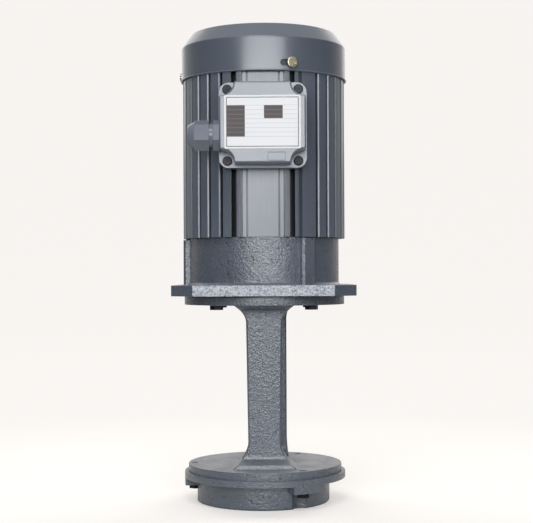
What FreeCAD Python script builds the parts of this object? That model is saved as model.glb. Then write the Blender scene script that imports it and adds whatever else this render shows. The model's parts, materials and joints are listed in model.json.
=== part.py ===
"""Immersion coolant pump: finned motor, terminal box, mounting flange, two-leg column and volute casing.

Millimetres. The origin is the centre of the mounting flange's underside, +Z runs up the shaft to the
fan cover, the terminal box faces -Y and the cable gland points to -X. Angles are counted from the
front (-Y) towards +X.
"""
import FreeCAD, Part
import math
import os

V = FreeCAD.Vector
UP = V(0, 0, 1)
CENTRE = V(0, 0, 0)

# Clearances
SEAT_GAP = 0.05           # radial play of a ring, spigot or bolt in its seat
RUNNING_GAP = 0.3         # between the rotor and the pieces that stand still
RACE_GAP = 0.15           # between a ball and its raceway or cage pocket

# Mounting flange and motor bracket
FLANGE_SIDE = 155.0
FLANGE_CHAMFER = 19.0
FLANGE_T = 9.0
MOUNT_INSET = 17.5        # from the flange's sides to the mounting holes
MOUNT_HOLE_R = 4.5
BRACKET_R = 65.4
BRACKET_H = 49.3          # top of the bracket above the mounting face
BRACKET_WALL = 13.0
BRACKET_FLOOR_T = 15.0
BRACKET_HUB_R = 24.0
BRACKET_HUB_H = 44.0
FOOT_CHAMFER = 2.0
RIB_T = 5.0
RIB_H = 34.0
LUG_R = 70.8
LUG_W = 13.0
LUG_BEVEL = 1.8
LUG_TOP_DROP = 1.0
SPIGOT_H = 4.0
SPIGOT_WALL = 4.5

# Three tie bolts hold the motor together
TIE_ANGLE = 33.0
TIE_R = 65.9              # radius of the tie bolt circle
TIE_BOLT_R = 2.5
TIE_HEAD_AF = 8.0
TIE_HEAD_H = 3.5
TIE_WASHER_R = 4.6
TIE_WASHER_T = 1.0
TIE_THREAD_L = 22.0

# Stator housing, a finned extrusion
HOUSING_H = 138.7
FIN_R = 70.7
FIN_ROOT_R = 62.5
HOUSING_BORE_R = 57.5
SLOT_PITCH = 10.0         # degrees between cooling slots
SLOT_W = 2.3
SLOT_MOUTH = 0.9          # how much wider and how deep a slot's mouth is, on each side
PAD_SLOTS_FREE = 2.5      # slot pitches either side of the front that the pad takes
PAD_Y = 66.5              # flat pad for the terminal box, in front of the axis
PAD_HALF = 12.5
PAD_GROOVE_W = 1.5
PAD_FIN_W = 2.9
PAD_SLIT_W = 1.0
SIDE_FIN_W = 4.3
SIDE_GAP_W = 4.3
BOLT_GROOVE_W = 2.7       # shallow groove beside the front tie bolt
BOLT_GROOVE_DEPTH = 2.5
BOLT_FIN_W = 3.2          # the fin between the wide gap and that groove
SIDE_GAP_TURN = 30.0      # where round the housing the wide gap's floor lies

# Upper end shield
SHIELD_RIM_H = 11.0
SHIELD_RIM_R = 70.6
SHIELD_RIM_WALL = 10.4
SHIELD_WEB_T = 5.0
SHIELD_HUB_R = 23.5
SHIELD_HUB_TOP = 10.0     # above the housing

# Bearings, 15 x 35 x 11
BEARING_BORE_R = 7.5
BEARING_R = 17.5
BEARING_W = 11.0
BEARING_PITCH_R = 12.5
BEARING_LAND = 2.2        # from the pitch circle to each ring's land
BALL_R = 3.0
BALL_COUNT = 8
CAGE_HALF_W = 1.3
CAGE_H = 8.0
LOWER_BEARING_Z = 30.0
UPPER_BEARING_DROP = 7.0  # below the top of the housing
WAVE_WASHER_T = 1.2
CIRCLIP_T = 1.2
CIRCLIP_W = 2.4

# Shaft, rotor and stator
PUMP_SHAFT_R = 7.0
MIDDLE_SHAFT_R = 9.0
ROTOR_SEAT_R = 10.0
FAN_SHAFT_R = 6.0
ROTOR_SEAT_OVER = 10.0    # beyond each end of the rotor core
CORE_H = 70.0
CORE_R = 57.45
CORE_BORE_R = 32.0
CORE_OVER_BEARING = 42.0  # from the lower bearing to the core
STATOR_SLOTS = 24
STATOR_SLOT_IN_R = 36.0
STATOR_SLOT_OUT_R = 49.0
STATOR_SLOT_W = 5.0
WINDING_IN_R = 35.0
WINDING_OUT_R = 53.0
WINDING_H = 19.0
WINDING_BEVEL = 5.0
ROTOR_BARS = 16
ROTOR_BAR_IN_R = 23.0
ROTOR_BAR_OUT_R = 29.0
ROTOR_BAR_W = 3.0
END_RING_IN_R = 20.0
END_RING_OUT_R = 30.0
END_RING_H = 9.0

# Fan and fan cover
FAN_GAP = 2.5             # above the shield's hub
FAN_R = 60.0
FAN_DISC_T = 2.5
FAN_H = 18.0
FAN_HUB_R = 12.0
FAN_HUB_H = 13.0
FAN_BLADES = 8
FAN_BLADE_T = 2.5
FAN_BLADE_IN_R = 20.0
FAN_KEY_W = 4.0
FAN_KEY_H = 2.0
COVER_R = 71.8
COVER_SHEET = 0.8
COVER_LAP = 1.7           # over the housing
COVER_WALL_H = 28.7
COVER_SHOULDER_H = 9.7
COVER_SHOULDER_IN = 7.1
COVER_CROWN_H = 3.0
COVER_BEND_R = 2.5
GRILLE_RINGS = 4
GRILLE_FIRST_R = 19.0
GRILLE_STEP = 9.5
GRILLE_SLOT_W = 4.5
GRILLE_SPOKES = 6
GRILLE_SPOKE_W = 6.0
GRILLE_DEPTH = 4.0
SCREW_CROWN = 0.3         # share of a pan head's height that its edge is rounded by
SCREW_RECESS_REACH = 0.55  # cross recess, as a share of the head's radius
SCREW_RECESS_W = 0.8
COVER_SCREW_TURN = 25.0   # how far the cross recesses are turned
COVER_SCREW_ANGLE = 19.5
COVER_SCREW_H = 7.0       # above the cover's rim
COVER_SCREW_R = 2.5
COVER_SCREW_L = 9.0
COVER_SCREW_HEAD_R = 4.6
COVER_SCREW_HEAD_H = 3.0
COVER_SLOT_REACH = 7.0    # the slot runs on to one side of the screw

# Terminal box
BOX_Z = 140.0
BOX_W = 72.0              # of the base and of the cap's ears
BOX_H = 70.0
BOX_CORNER_R = 8.0
BOX_BASE_T = 10.5         # from the pad to the gasket
BOX_FLOOR_T = 3.5
BOX_FOOT_HALF = 12.2
BOX_SADDLE_GAP = 0.4      # between the base and the fins
GASKET_T = 1.0
BOX_COVER_DEPTH = 27.0
BOX_CAP_STEP_X = 1.2      # from the ears' sides in to the cap's
BOX_CAP_STEP_Z = 2.35
BOX_WALL = 2.6
BOX_EAR_T = 3.0
BOX_EDGE_R = 1.6
BOX_SCREW_INSET_X = 6.9   # from the ears' sides to the screws
BOX_SCREW_INSET_Z = 5.75
BOX_WELL_R = 9.8          # of the round wells at the cap's corners
BOX_WELL_SHIFT_X = 3.9    # from a screw out to its well's middle
BOX_WELL_SHIFT_Z = 2.35
BOX_WELL_EDGE_R = 2.0
BOX_POST_R = 7.5          # round the screws in the base
BOX_SCREW_R = 2.0
BOX_SCREW_HEAD_R = 3.9
BOX_SCREW_HEAD_H = 2.6
BOX_SCREW_L = 9.0
LEAD_HOLE_R = 8.0
BOX_OPENING_R = 2.0       # corners of the opening through base and gasket
BOX_RECESS = 3.0          # how far the base's floor stands in front of its foot
BASE_SCREW_SIDE = 9.0     # the base's screws, from the box's middle
BASE_SCREW_RISE = 21.0
BASE_SCREW_L = 7.0
BOLT_CLEARANCE = 0.3      # round a bolt in its through hole
BLOCK_W = 42.0
BLOCK_H = 26.0
BLOCK_T = 7.0
BLOCK_DROP = 15.0         # of the block's middle below the box's
BARRIER_T = 2.0
STUD_PITCH = 13.0
STUD_ROW = 13.0
STUD_R = 2.0
STUD_L = 10.0
STUD_NUT_AF = 7.0
STUD_NUT_H = 3.2
LINK_T = 0.8
LINK_W = 6.0
EARTH_X = 20.0
EARTH_Z = 12.0
EARTH_HEAD_AF = 8.0
EARTH_HEAD_H = 3.0
EARTH_SCREW_L = 3.5
PLATE_INSET = 4.2         # of the data plate, from the cap's sides
PLATE_H = 42.7
PLATE_T = 0.5
PLATE_CORNER_R = 1.0

# Cable gland on the box's left wall
GLAND_DROP = 9.5          # below the box's centre
GLAND_FACE_BACK = 12.0    # behind the cover's front face
GLAND_AF = 22.0
GLAND_TURN = 8.0
GLAND_BASE_L = 5.1
GLAND_NECK_L = 3.3
GLAND_NECK_R = 9.6
GLAND_NUT_L = 11.8
GLAND_DOME_L = 5.6
GLAND_DOME_R = 8.0
GLAND_THREAD_R = 9.0
GLAND_THREAD_L = 6.0
GLAND_THREAD_STEP = 1.0   # from the entry thread in to the nut's thread
GLAND_SPIGOT_L = 5.9      # of the body inside the dome nut
GLAND_SOCKET_L = 10.6     # how deep the dome nut is bored for body and seal
GLAND_DOME_ROUND = 2.0
GLAND_BORE_R = 5.0
GLAND_SEAL_BORE_R = 4.6

# Discharge duct through the column and the bracket
DUCT_X = 3.0
DUCT_Y = 46.0
DUCT_R = 9.0
PORT_Z = 28.5
PORT_BOSS_R = 18.5
PORT_FACE_Y = 74.0
PORT_THREAD_R = 12.1
PORT_THREAD_L = 15.0
RISER_W = 28.0
RISER_WALL = 5.0

# Column
DEPTH = 180.0             # from the mounting face to the base of the casing
TOP_PLATE_R = 70.1
TOP_PLATE_T = 7.2
COLUMN_GASKET_T = 0.8
COLUMN_BOLT_R = 3.0
COLUMN_BOLT_PCD = 114.0
COLUMN_BOLT_L = 18.0
COLUMN_BOLT_AF = 10.0
COLUMN_BOLT_HEAD_H = 4.0
BOLT_TURN = 15.0          # how the column bolts' heads happen to be turned
LEG_CORNER_R = 2.0
FRONT_LEG_FACE_Y = 36.0
FRONT_LEG_T = 14.0
FRONT_LEG_TOP_W = 31.0
FRONT_LEG_LOW_W = 28.0
FRONT_RIDGE = 0.7
BACK_LEG_T = 27.0
BACK_LEG_W = 33.0
TOP_FLARE_W = 53.0
TOP_FLARE_H = 15.0
TOP_FLARE_T = 5.0
FOOT_FLARE_W = 55.0
FOOT_FLARE_H = 22.0
FOOT_FLARE_T = 11.0
BACK_TOP_FLARE_W = 42.0
BACK_FOOT_FLARE_W = 36.0
BACK_FLARE_T = 4.0
SKIRT_SHARE = 0.16        # of a flare's height in which its face stands upright
FLARE_FACE_SHARE = 0.38   # of a flare's height in which the leg also thickens
FLARE_ROOT = 1.5          # how far a flare is sunk in its plate
FLARE_STEPS = 12
DISC_R = 67.0
DISC_T = 7.2
BUSH_R = 11.0
BUSH_HUB_R = 16.0
BUSH_HUB_H = 9.0
SEAL_R = 13.0
SEAL_H = 7.0
SEAL_INSET = 0.5
SEAL_SHEET = 1.5          # of its pressed case
SEAL_FACE_T = 2.0
SEAL_LIP_T = 1.3
SEAL_LIP_SPREAD = 1.2     # how much wider the lip stands at its root
SLINGER_R = 12.0
SLINGER_Z = -16.0
SLINGER_H = 6.0

# Volute casing
CASING_H = 25.9           # from its joint face to the base
CASING_RIM_R = 70.4
CASING_RIM_W = 3.2
CASING_RIM_H = 0.5
CASING_FLANGE_T = 4.8
CASING_LUG_T = 11.1
CASING_LUG_HALF = 11.0    # degrees either side of the bolt
CASING_BOLT_ANGLE = 31.5
CASING_BOLT_PITCH_R = 61.5
CASING_BOLT_R = 3.0
CASING_BOLT_AF = 10.0
CASING_BOLT_HEAD_H = 4.0
CASING_BOLT_L = 17.0
CASING_SCALLOP_R = 9.0
CASING_LUG_ROOT = 0.9     # where the lugs start inside the body, as a share of its radius
CASING_BODY_R = 57.3
CASING_BODY_GROWTH = 3.6
CASING_THROAT_X = 16.0
CASING_EDGE_R = 2.0
VOLUTE_R = 41.0
VOLUTE_GROWTH = 4.0
VOLUTE_THROAT_X = 13.0
VOLUTE_DEPTH = 18.9
EYE_R = 18.0

# Impeller
IMPELLER_R = 36.0
IMPELLER_TOP_GAP = 2.0
IMPELLER_PLATE_T = 3.0
IMPELLER_VANE_H = 12.4
IMPELLER_HUB_R = 11.0
IMPELLER_HUB_H = 14.0
IMPELLER_SEAT_R = 6.0
IMPELLER_VANES = 6
VANE_T = 2.4
VANE_SWEEP = 62.0
VANE_MIDDLE = 0.64        # where the vane's middle lies, as a share of the wheel's radius
VANE_CURVE = 1.2          # how much later than evenly the vane sweeps back
KEY_W = 4.0
KEY_H = 1.6               # of the impeller key above the shaft
NUT_R = 5.0
NUT_AF = 16.0
NUT_H = 6.0
IMPELLER_WASHER_R = 9.5
IMPELLER_WASHER_T = 1.5
THREAD_END = 1.0

# Levels worked out from the sizes above
HOUSING_TOP = BRACKET_H + HOUSING_H
SHIELD_TOP = HOUSING_TOP + SHIELD_RIM_H
UPPER_BEARING_Z = HOUSING_TOP - UPPER_BEARING_DROP
CORE_Z = LOWER_BEARING_Z + BEARING_W + CORE_OVER_BEARING
FAN_Z = HOUSING_TOP + SHIELD_HUB_TOP + FAN_GAP
COVER_Z = HOUSING_TOP - COVER_LAP
COVER_TOP = COVER_Z + COVER_WALL_H + COVER_SHOULDER_H + COVER_CROWN_H
COVER_SCREW_Z = COVER_Z + COVER_SCREW_H
TOP_PLATE_Z = -COLUMN_GASKET_T - TOP_PLATE_T
JOINT_Z = CASING_H - DEPTH
DISC_TOP = JOINT_Z + DISC_T
CASING_FLANGE_Z = JOINT_Z - CASING_FLANGE_T
CASING_LUG_Z = JOINT_Z - CASING_LUG_T
VOLUTE_FLOOR_Z = JOINT_Z - VOLUTE_DEPTH
IMPELLER_TOP = JOINT_Z - IMPELLER_TOP_GAP
IMPELLER_HUB_Z = IMPELLER_TOP - IMPELLER_HUB_H
MOUNT_PITCH = FLANGE_SIDE - 2 * MOUNT_INSET
BOX_COVER_W = BOX_W - 2 * BOX_CAP_STEP_X
BOX_COVER_H = BOX_H - 2 * BOX_CAP_STEP_Z
BOX_SCREW_X = BOX_W / 2 - BOX_SCREW_INSET_X
BOX_SCREW_Z = BOX_H / 2 - BOX_SCREW_INSET_Z
PLATE_W = BOX_COVER_W - 2 * PLATE_INSET
BOX_JOINT_Y = PAD_Y + BOX_BASE_T
BOX_COVER_BACK_Y = BOX_JOINT_Y + GASKET_T
BOX_FACE_Y = BOX_COVER_BACK_Y + BOX_COVER_DEPTH
BOX_FLOOR_Y = PAD_Y + BOX_RECESS + BOX_FLOOR_T
BOX_WALL_X = BOX_COVER_W / 2
GLAND_Y = BOX_FACE_Y - GLAND_FACE_BACK
GLAND_Z = BOX_Z - GLAND_DROP
LEG_CENTRE_Y = FRONT_LEG_FACE_Y - FRONT_LEG_T / 2


def spot(radius, angle, z=0.0):
    """The point at a radius and an angle from the front, turning towards +X."""
    turn = math.radians(angle)
    return V(radius * math.sin(turn), -radius * math.cos(turn), z)


def thirds(first):
    """Three angles, evenly spaced."""
    return [first, first + 120, first + 240]


def rod(radius, low, high, x=0.0, y=0.0):
    """An upright cylinder between two levels."""
    return Part.makeCylinder(radius, high - low, V(x, y, low))


def rod_at(radius, low, high, place):
    return rod(radius, low, high, place.x, place.y)


def tube(outer, inner, low, high):
    return rod(outer, low, high).cut(rod(inner, low, high))


def block(x0, x1, y0, y1, z0, z1):
    """A box between two corners."""
    return Part.makeBox(x1 - x0, y1 - y0, z1 - z0, V(x0, y0, z0))


def turned(shape, angle):
    """A copy turned about the shaft."""
    copy = shape.copy()
    copy.rotate(CENTRE, UP, angle)
    return copy


def fused(shapes):
    whole = shapes[0].multiFuse(shapes[1:])
    return whole.removeSplitter()


def group(shapes):
    return Part.makeCompound(shapes)


def hexagon(across_flats, low, high, place=CENTRE, turn=0.0):
    """An upright hexagonal prism."""
    corner_r = across_flats / math.sqrt(3)
    corners = []
    for step in range(7):
        angle = math.radians(60 * step + turn)
        corners.append(V(place.x + corner_r * math.cos(angle), place.y + corner_r * math.sin(angle), low))
    return Part.Face(Part.makePolygon(corners)).extrude(V(0, 0, high - low))


def rounded_outline(width, height, corner_r, z=0.0, x=0.0, y=0.0, bulge=0.0):
    """A rectangle with round corners, whose -Y side may rise to a slight ridge in its middle."""
    left = x - width / 2
    right = x + width / 2
    near = y - height / 2
    far = y + height / 2
    knee = corner_r * (1 - math.sqrt(0.5))
    edges = [
        Part.makeLine(V(left + corner_r, near, z), V(x, near - bulge, z)),
        Part.makeLine(V(x, near - bulge, z), V(right - corner_r, near, z)),
        Part.Arc(V(right - corner_r, near, z), V(right - knee, near + knee, z),
                 V(right, near + corner_r, z)).toShape(),
        Part.makeLine(V(right, near + corner_r, z), V(right, far - corner_r, z)),
        Part.Arc(V(right, far - corner_r, z), V(right - knee, far - knee, z),
                 V(right - corner_r, far, z)).toShape(),
        Part.makeLine(V(right - corner_r, far, z), V(left + corner_r, far, z)),
        Part.Arc(V(left + corner_r, far, z), V(left + knee, far - knee, z),
                 V(left, far - corner_r, z)).toShape(),
        Part.makeLine(V(left, far - corner_r, z), V(left, near + corner_r, z)),
        Part.Arc(V(left, near + corner_r, z), V(left + knee, near + knee, z),
                 V(left + corner_r, near, z)).toShape(),
    ]
    return Part.Wire(edges)


def plate(width, height, corner_r, low, high):
    """An upright prism with a round-cornered outline."""
    return Part.Face(rounded_outline(width, height, corner_r, low)).extrude(V(0, 0, high - low))


def facing_front(shape):
    """Stands a shape modelled on the XY plane up, so that its +Z points to the front."""
    stood = shape.copy()
    stood.rotate(CENTRE, V(1, 0, 0), 90)
    stood.translate(V(0, 0, BOX_Z))
    return stood


def pan_screw(head_r, head_h, shank_r, length):
    """A pan-head screw on the Z axis, with its head above z = 0."""
    shank = Part.makeCylinder(shank_r, length, V(0, 0, -length))
    head = Part.makeCylinder(head_r, head_h, CENTRE)
    rim = [edge for edge in head.Edges if abs(edge.BoundBox.ZMin - head_h) < 1e-6]
    head = head.makeFillet(head_h * SCREW_CROWN, rim)
    arm = head_r * SCREW_RECESS_REACH
    half = SCREW_RECESS_W / 2
    for turn in (0, 90):
        recess = block(-arm, arm, -half, half, head_h / 2, head_h + 1)
        head = head.cut(turned(recess, turn))
    return shank.fuse(head).removeSplitter()


def save(name, shape):
    shape.exportStep("parts/" + name + ".step")


# Motor bracket and mounting flange

def flange_plate():
    half = FLANGE_SIDE / 2
    cut = half - FLANGE_CHAMFER
    corners = [(cut, -half), (half, -cut), (half, cut), (cut, half)]
    corners += [(-x, -y) for x, y in corners] + corners[:1]
    outline = Part.makePolygon([V(x, y, 0) for x, y in corners])
    return Part.Face(outline).extrude(V(0, 0, FLANGE_T))


def mount_points():
    half = MOUNT_PITCH / 2
    return [V(x, y, 0) for x in (-half, half) for y in (-half, half)]


def column_bolt_points():
    return [spot(COLUMN_BOLT_PCD / 2, angle) for angle in (45, 135, 225, 315)]


def bracket_lug(angle):
    """An upright lug with bevelled corners on the bracket's wall, which takes a tie bolt."""
    half = LUG_W / 2
    root = -BRACKET_R + BRACKET_WALL / 2
    knee = -LUG_R + LUG_BEVEL
    corners = [V(-half, root, 0), V(-half, knee, 0), V(-half + LUG_BEVEL, -LUG_R, 0),
               V(half - LUG_BEVEL, -LUG_R, 0), V(half, knee, 0), V(half, root, 0), V(-half, root, 0)]
    lug = Part.Face(Part.makePolygon(corners)).extrude(V(0, 0, BRACKET_H - LUG_TOP_DROP))
    return turned(lug, angle)


def discharge_passage():
    """The liquid's way up from the column and out of the threaded port at the back."""
    bend = V(DUCT_X, DUCT_Y, PORT_Z)
    back = V(0, 1, 0)
    riser = rod(DUCT_R, -1, PORT_Z, DUCT_X, DUCT_Y)
    elbow = Part.makeSphere(DUCT_R, bend)
    run = Part.makeCylinder(DUCT_R, PORT_FACE_Y - DUCT_Y, bend, back)
    thread_start = V(DUCT_X, PORT_FACE_Y - PORT_THREAD_L, PORT_Z)
    thread = Part.makeCylinder(PORT_THREAD_R, PORT_THREAD_L + 1, thread_start, back)
    return fused([riser, elbow, run, thread])


def motor_bracket():
    barrel = rod(BRACKET_R, 0, BRACKET_H)
    foot = Part.makeCone(BRACKET_R + FOOT_CHAMFER, BRACKET_R, FOOT_CHAMFER, V(0, 0, FLANGE_T))
    cavity = tube(BRACKET_R - BRACKET_WALL, BRACKET_HUB_R, BRACKET_FLOOR_T, BRACKET_H + 1)
    above_hub = rod(BRACKET_HUB_R + 1, BRACKET_HUB_H, BRACKET_H + 1)
    shell = fused([flange_plate(), barrel, foot]).cut(cavity).cut(above_hub)
    riser_back = BRACKET_R - BRACKET_WALL / 2
    riser = block(DUCT_X - RISER_W / 2, DUCT_X + RISER_W / 2, DUCT_Y - DUCT_R - RISER_WALL, riser_back, 0,
                  PORT_Z + DUCT_R + RISER_WALL)
    boss = Part.makeCylinder(PORT_BOSS_R, PORT_FACE_Y - DUCT_Y, V(DUCT_X, DUCT_Y, PORT_Z), V(0, 1, 0))
    pieces = [shell, riser, boss.cut(rod(BRACKET_R - BRACKET_WALL, 0, BRACKET_H))]
    pieces.append(tube(HOUSING_BORE_R - SEAT_GAP, HOUSING_BORE_R - SPIGOT_WALL, BRACKET_H - 1,
                       BRACKET_H + SPIGOT_H))
    for angle in thirds(TIE_ANGLE):
        pieces.append(bracket_lug(angle))
    for angle in (45, 135, 225, 315):
        rib = block(-RIB_T / 2, RIB_T / 2, -BRACKET_R + BRACKET_WALL / 2, -BRACKET_HUB_R + 1, 0, RIB_H)
        pieces.append(turned(rib, angle))
    body = fused(pieces)
    cuts = [discharge_passage()]
    for place in mount_points():
        cuts.append(rod_at(MOUNT_HOLE_R, -1, FLANGE_T + FOOT_CHAMFER + 1, place))
    for place in column_bolt_points():
        cuts.append(rod_at(COLUMN_BOLT_R + SEAT_GAP, -1, COLUMN_BOLT_L - TOP_PLATE_T, place))
    lug_top = BRACKET_H - LUG_TOP_DROP
    for angle in thirds(TIE_ANGLE):
        cuts.append(rod_at(TIE_BOLT_R + SEAT_GAP, lug_top - TIE_THREAD_L - 2, lug_top + 1,
                           spot(TIE_R, angle)))
    cuts.append(rod(MIDDLE_SHAFT_R, -1, BRACKET_HUB_H))
    cuts.append(rod(BEARING_R + SEAT_GAP, LOWER_BEARING_Z, BRACKET_HUB_H + 1))
    cuts.append(rod(SEAL_R + SEAT_GAP, -1, SEAL_INSET + SEAL_H))
    clip_z = LOWER_BEARING_Z + BEARING_W
    cuts.append(rod(BEARING_R + CIRCLIP_W / 2, clip_z, clip_z + CIRCLIP_T))
    return body.cut(group(cuts))


# Stator housing

def radial_slot(angle):
    """A cooling slot whose mouth is flared on both sides."""
    half = SLOT_W / 2
    mouth = half + SLOT_MOUTH + 1
    low = BRACKET_H - 1
    corners = [V(-half, -FIN_ROOT_R, low), V(-half, -FIN_R + SLOT_MOUTH, low), V(-mouth, -FIN_R - 1, low),
               V(mouth, -FIN_R - 1, low), V(half, -FIN_R + SLOT_MOUTH, low), V(half, -FIN_ROOT_R, low),
               V(-half, -FIN_ROOT_R, low)]
    tool = Part.Face(Part.makePolygon(corners)).extrude(V(0, 0, HOUSING_H + 2))
    return turned(tool, angle)


def between(first, second):
    """The angle between two directions round the shaft."""
    apart = abs(first - second) % 360
    return min(apart, 360 - apart)


def front_cut(x_from, x_to, y_from):
    """Clears the front of the housing between two distances from the middle, on both sides."""
    low = BRACKET_H - 1
    high = HOUSING_TOP + 1
    right = block(x_from, x_to, -FIN_R - 1, y_from, low, high)
    left = block(-x_to, -x_from, -FIN_R - 1, y_from, low, high)
    return [right, left]


def stator_housing():
    ring = tube(FIN_R, HOUSING_BORE_R, BRACKET_H, HOUSING_TOP)
    cuts = []
    count = int(round(360 / SLOT_PITCH))
    for step in range(count):
        angle = step * SLOT_PITCH
        from_bolt = min(between(angle, bolt) for bolt in thirds(TIE_ANGLE))
        if between(angle, 0) > PAD_SLOTS_FREE * SLOT_PITCH and from_bolt > SLOT_PITCH / 2:
            cuts.append(radial_slot(angle))
    groove = PAD_HALF + PAD_GROOVE_W
    slit = groove + PAD_FIN_W
    side_fin = slit + PAD_SLIT_W
    side_gap = side_fin + SIDE_FIN_W
    cuts += front_cut(0, slit, -PAD_Y)
    cuts += front_cut(PAD_HALF, groove, -FIN_ROOT_R)
    cuts += front_cut(slit, side_fin, -FIN_ROOT_R)
    gap_floor = spot(FIN_ROOT_R, SIDE_GAP_TURN).y
    wide_gap = front_cut(side_gap, side_gap + SIDE_GAP_W, gap_floor)
    core = rod(FIN_ROOT_R, BRACKET_H - 2, HOUSING_TOP + 2)
    cuts += [gap.cut(core) for gap in wide_gap]
    groove_x = side_gap + SIDE_GAP_W + BOLT_FIN_W
    groove_cut = front_cut(groove_x, groove_x + BOLT_GROOVE_W, 0)[0]
    cuts.append(groove_cut.cut(rod(FIN_R - BOLT_GROOVE_DEPTH, BRACKET_H - 2, HOUSING_TOP + 2)))
    for angle in thirds(TIE_ANGLE):
        cuts.append(rod_at(TIE_BOLT_R + SEAT_GAP, BRACKET_H - 1, HOUSING_TOP + 1, spot(TIE_R, angle)))
    cuts.append(facing_front(Part.makeCylinder(LEAD_HOLE_R, PAD_Y + 2, CENTRE)))
    for place in base_screw_points():
        cuts.append(facing_front(rod_at(BOX_SCREW_R + SEAT_GAP, PAD_Y - BASE_SCREW_L, PAD_Y + 1, place)))
    return ring.cut(group(cuts))


# Upper end shield, bearings and seal

def upper_end_shield():
    rim = tube(SHIELD_RIM_R, SHIELD_RIM_R - SHIELD_RIM_WALL, HOUSING_TOP, SHIELD_TOP)
    web = rod(SHIELD_RIM_R - SHIELD_RIM_WALL / 2, HOUSING_TOP, HOUSING_TOP + SHIELD_WEB_T)
    spigot = tube(HOUSING_BORE_R - SEAT_GAP, HOUSING_BORE_R - SPIGOT_WALL, HOUSING_TOP - SPIGOT_H,
                  HOUSING_TOP + 1)
    hub = rod(SHIELD_HUB_R, UPPER_BEARING_Z - 2, HOUSING_TOP + SHIELD_HUB_TOP)
    body = fused([rim, web, spigot, hub])
    seat_top = UPPER_BEARING_Z + BEARING_W + WAVE_WASHER_T
    cuts = [rod(BEARING_R + SEAT_GAP, UPPER_BEARING_Z - 3, seat_top), rod(MIDDLE_SHAFT_R, 0, SHIELD_TOP)]
    for angle in thirds(TIE_ANGLE):
        cuts.append(rod_at(TIE_BOLT_R + SEAT_GAP, HOUSING_TOP - 1, SHIELD_TOP + 1, spot(TIE_R, angle)))
    for angle in thirds(COVER_SCREW_ANGLE):
        depth = COVER_SCREW_L + 1.5
        start = spot(COVER_R - depth, angle, COVER_SCREW_Z)
        cuts.append(Part.makeCylinder(COVER_SCREW_R + SEAT_GAP, depth + 2, start, spot(1, angle)))
    return body.cut(group(cuts))


def raceway(z_low):
    """The torus that the balls run through."""
    return Part.makeTorus(BEARING_PITCH_R, BALL_R, V(0, 0, z_low + BEARING_W / 2))


def inner_ring(z_low):
    land = BEARING_PITCH_R - BEARING_LAND
    ring = tube(land, BEARING_BORE_R + SEAT_GAP, z_low, z_low + BEARING_W)
    return ring.cut(raceway(z_low))


def outer_ring(z_low):
    land = BEARING_PITCH_R + BEARING_LAND
    ring = tube(BEARING_R, land, z_low, z_low + BEARING_W)
    return ring.cut(raceway(z_low))


def ball_places(z_low):
    middle = z_low + BEARING_W / 2
    return [spot(BEARING_PITCH_R, 360 / BALL_COUNT * step, middle) for step in range(BALL_COUNT)]


def balls(z_low):
    return group([Part.makeSphere(BALL_R - RACE_GAP, place) for place in ball_places(z_low)])


def ball_cage(z_low):
    middle = z_low + BEARING_W / 2
    ring = tube(BEARING_PITCH_R + CAGE_HALF_W, BEARING_PITCH_R - CAGE_HALF_W, middle - CAGE_H / 2,
                middle + CAGE_H / 2)
    pockets = []
    for step in range(BALL_COUNT):
        angle = 360 / BALL_COUNT * step
        start = spot(BEARING_PITCH_R - BALL_R, angle, middle)
        pockets.append(Part.makeCylinder(BALL_R, BALL_R * 2, start, spot(1, angle)))
    return ring.cut(group(pockets))


def lower_circlip():
    low = LOWER_BEARING_Z + BEARING_W
    ring = tube(BEARING_R + CIRCLIP_W / 2 - SEAT_GAP, BEARING_R - CIRCLIP_W / 2, low, low + CIRCLIP_T)
    return ring.cut(block(-CIRCLIP_W, CIRCLIP_W, -BEARING_R * 2, 0, low - 1, low + CIRCLIP_T + 1))


def wave_washer():
    low = UPPER_BEARING_Z + BEARING_W
    return tube(BEARING_R - RUNNING_GAP, BEARING_R - CIRCLIP_W, low, low + WAVE_WASHER_T)


def shaft_seal():
    low = SEAL_INSET
    tip_r = PUMP_SHAFT_R + RUNNING_GAP
    root_r = tip_r + SEAL_LIP_SPREAD
    case = tube(SEAL_R, SEAL_R - SEAL_SHEET, low, low + SEAL_H)
    face = tube(SEAL_R - SEAL_SHEET / 2, root_r, low + SEAL_H - SEAL_FACE_T, low + SEAL_H)
    lip = Part.makeCone(tip_r + SEAL_LIP_T, root_r + SEAL_LIP_T, SEAL_H, V(0, 0, low))
    lip = lip.cut(Part.makeCone(tip_r, root_r, SEAL_H, V(0, 0, low)))
    return fused([case, face, lip])


# Stator, rotor and shaft

def slot_bars(count, inner, outer, width, low, high):
    """Straight bars in a ring, for slots and for what fills them."""
    bar = block(-width / 2, width / 2, -outer, -inner, low, high)
    return [turned(bar, 360 / count * step) for step in range(count)]


def stator_core():
    core = tube(CORE_R, CORE_BORE_R, CORE_Z, CORE_Z + CORE_H)
    slots = slot_bars(STATOR_SLOTS, STATOR_SLOT_IN_R, STATOR_SLOT_OUT_R, STATOR_SLOT_W, CORE_Z - 1,
                      CORE_Z + CORE_H + 1)
    return core.cut(group(slots))


def end_winding(low):
    ring = tube(WINDING_OUT_R, WINDING_IN_R, low, low + WINDING_H)
    return ring.makeChamfer(WINDING_BEVEL, [edge for edge in ring.Edges if len(edge.Vertexes) == 1])


def stator_windings():
    low = CORE_Z - WINDING_H
    high = CORE_Z + CORE_H
    bars = slot_bars(STATOR_SLOTS, STATOR_SLOT_IN_R + SEAT_GAP, STATOR_SLOT_OUT_R - SEAT_GAP,
                     STATOR_SLOT_W - 2 * SEAT_GAP, CORE_Z - WINDING_H / 2, high + WINDING_H / 2)
    return fused([end_winding(low - SEAT_GAP), end_winding(high + SEAT_GAP)] + bars)


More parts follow.
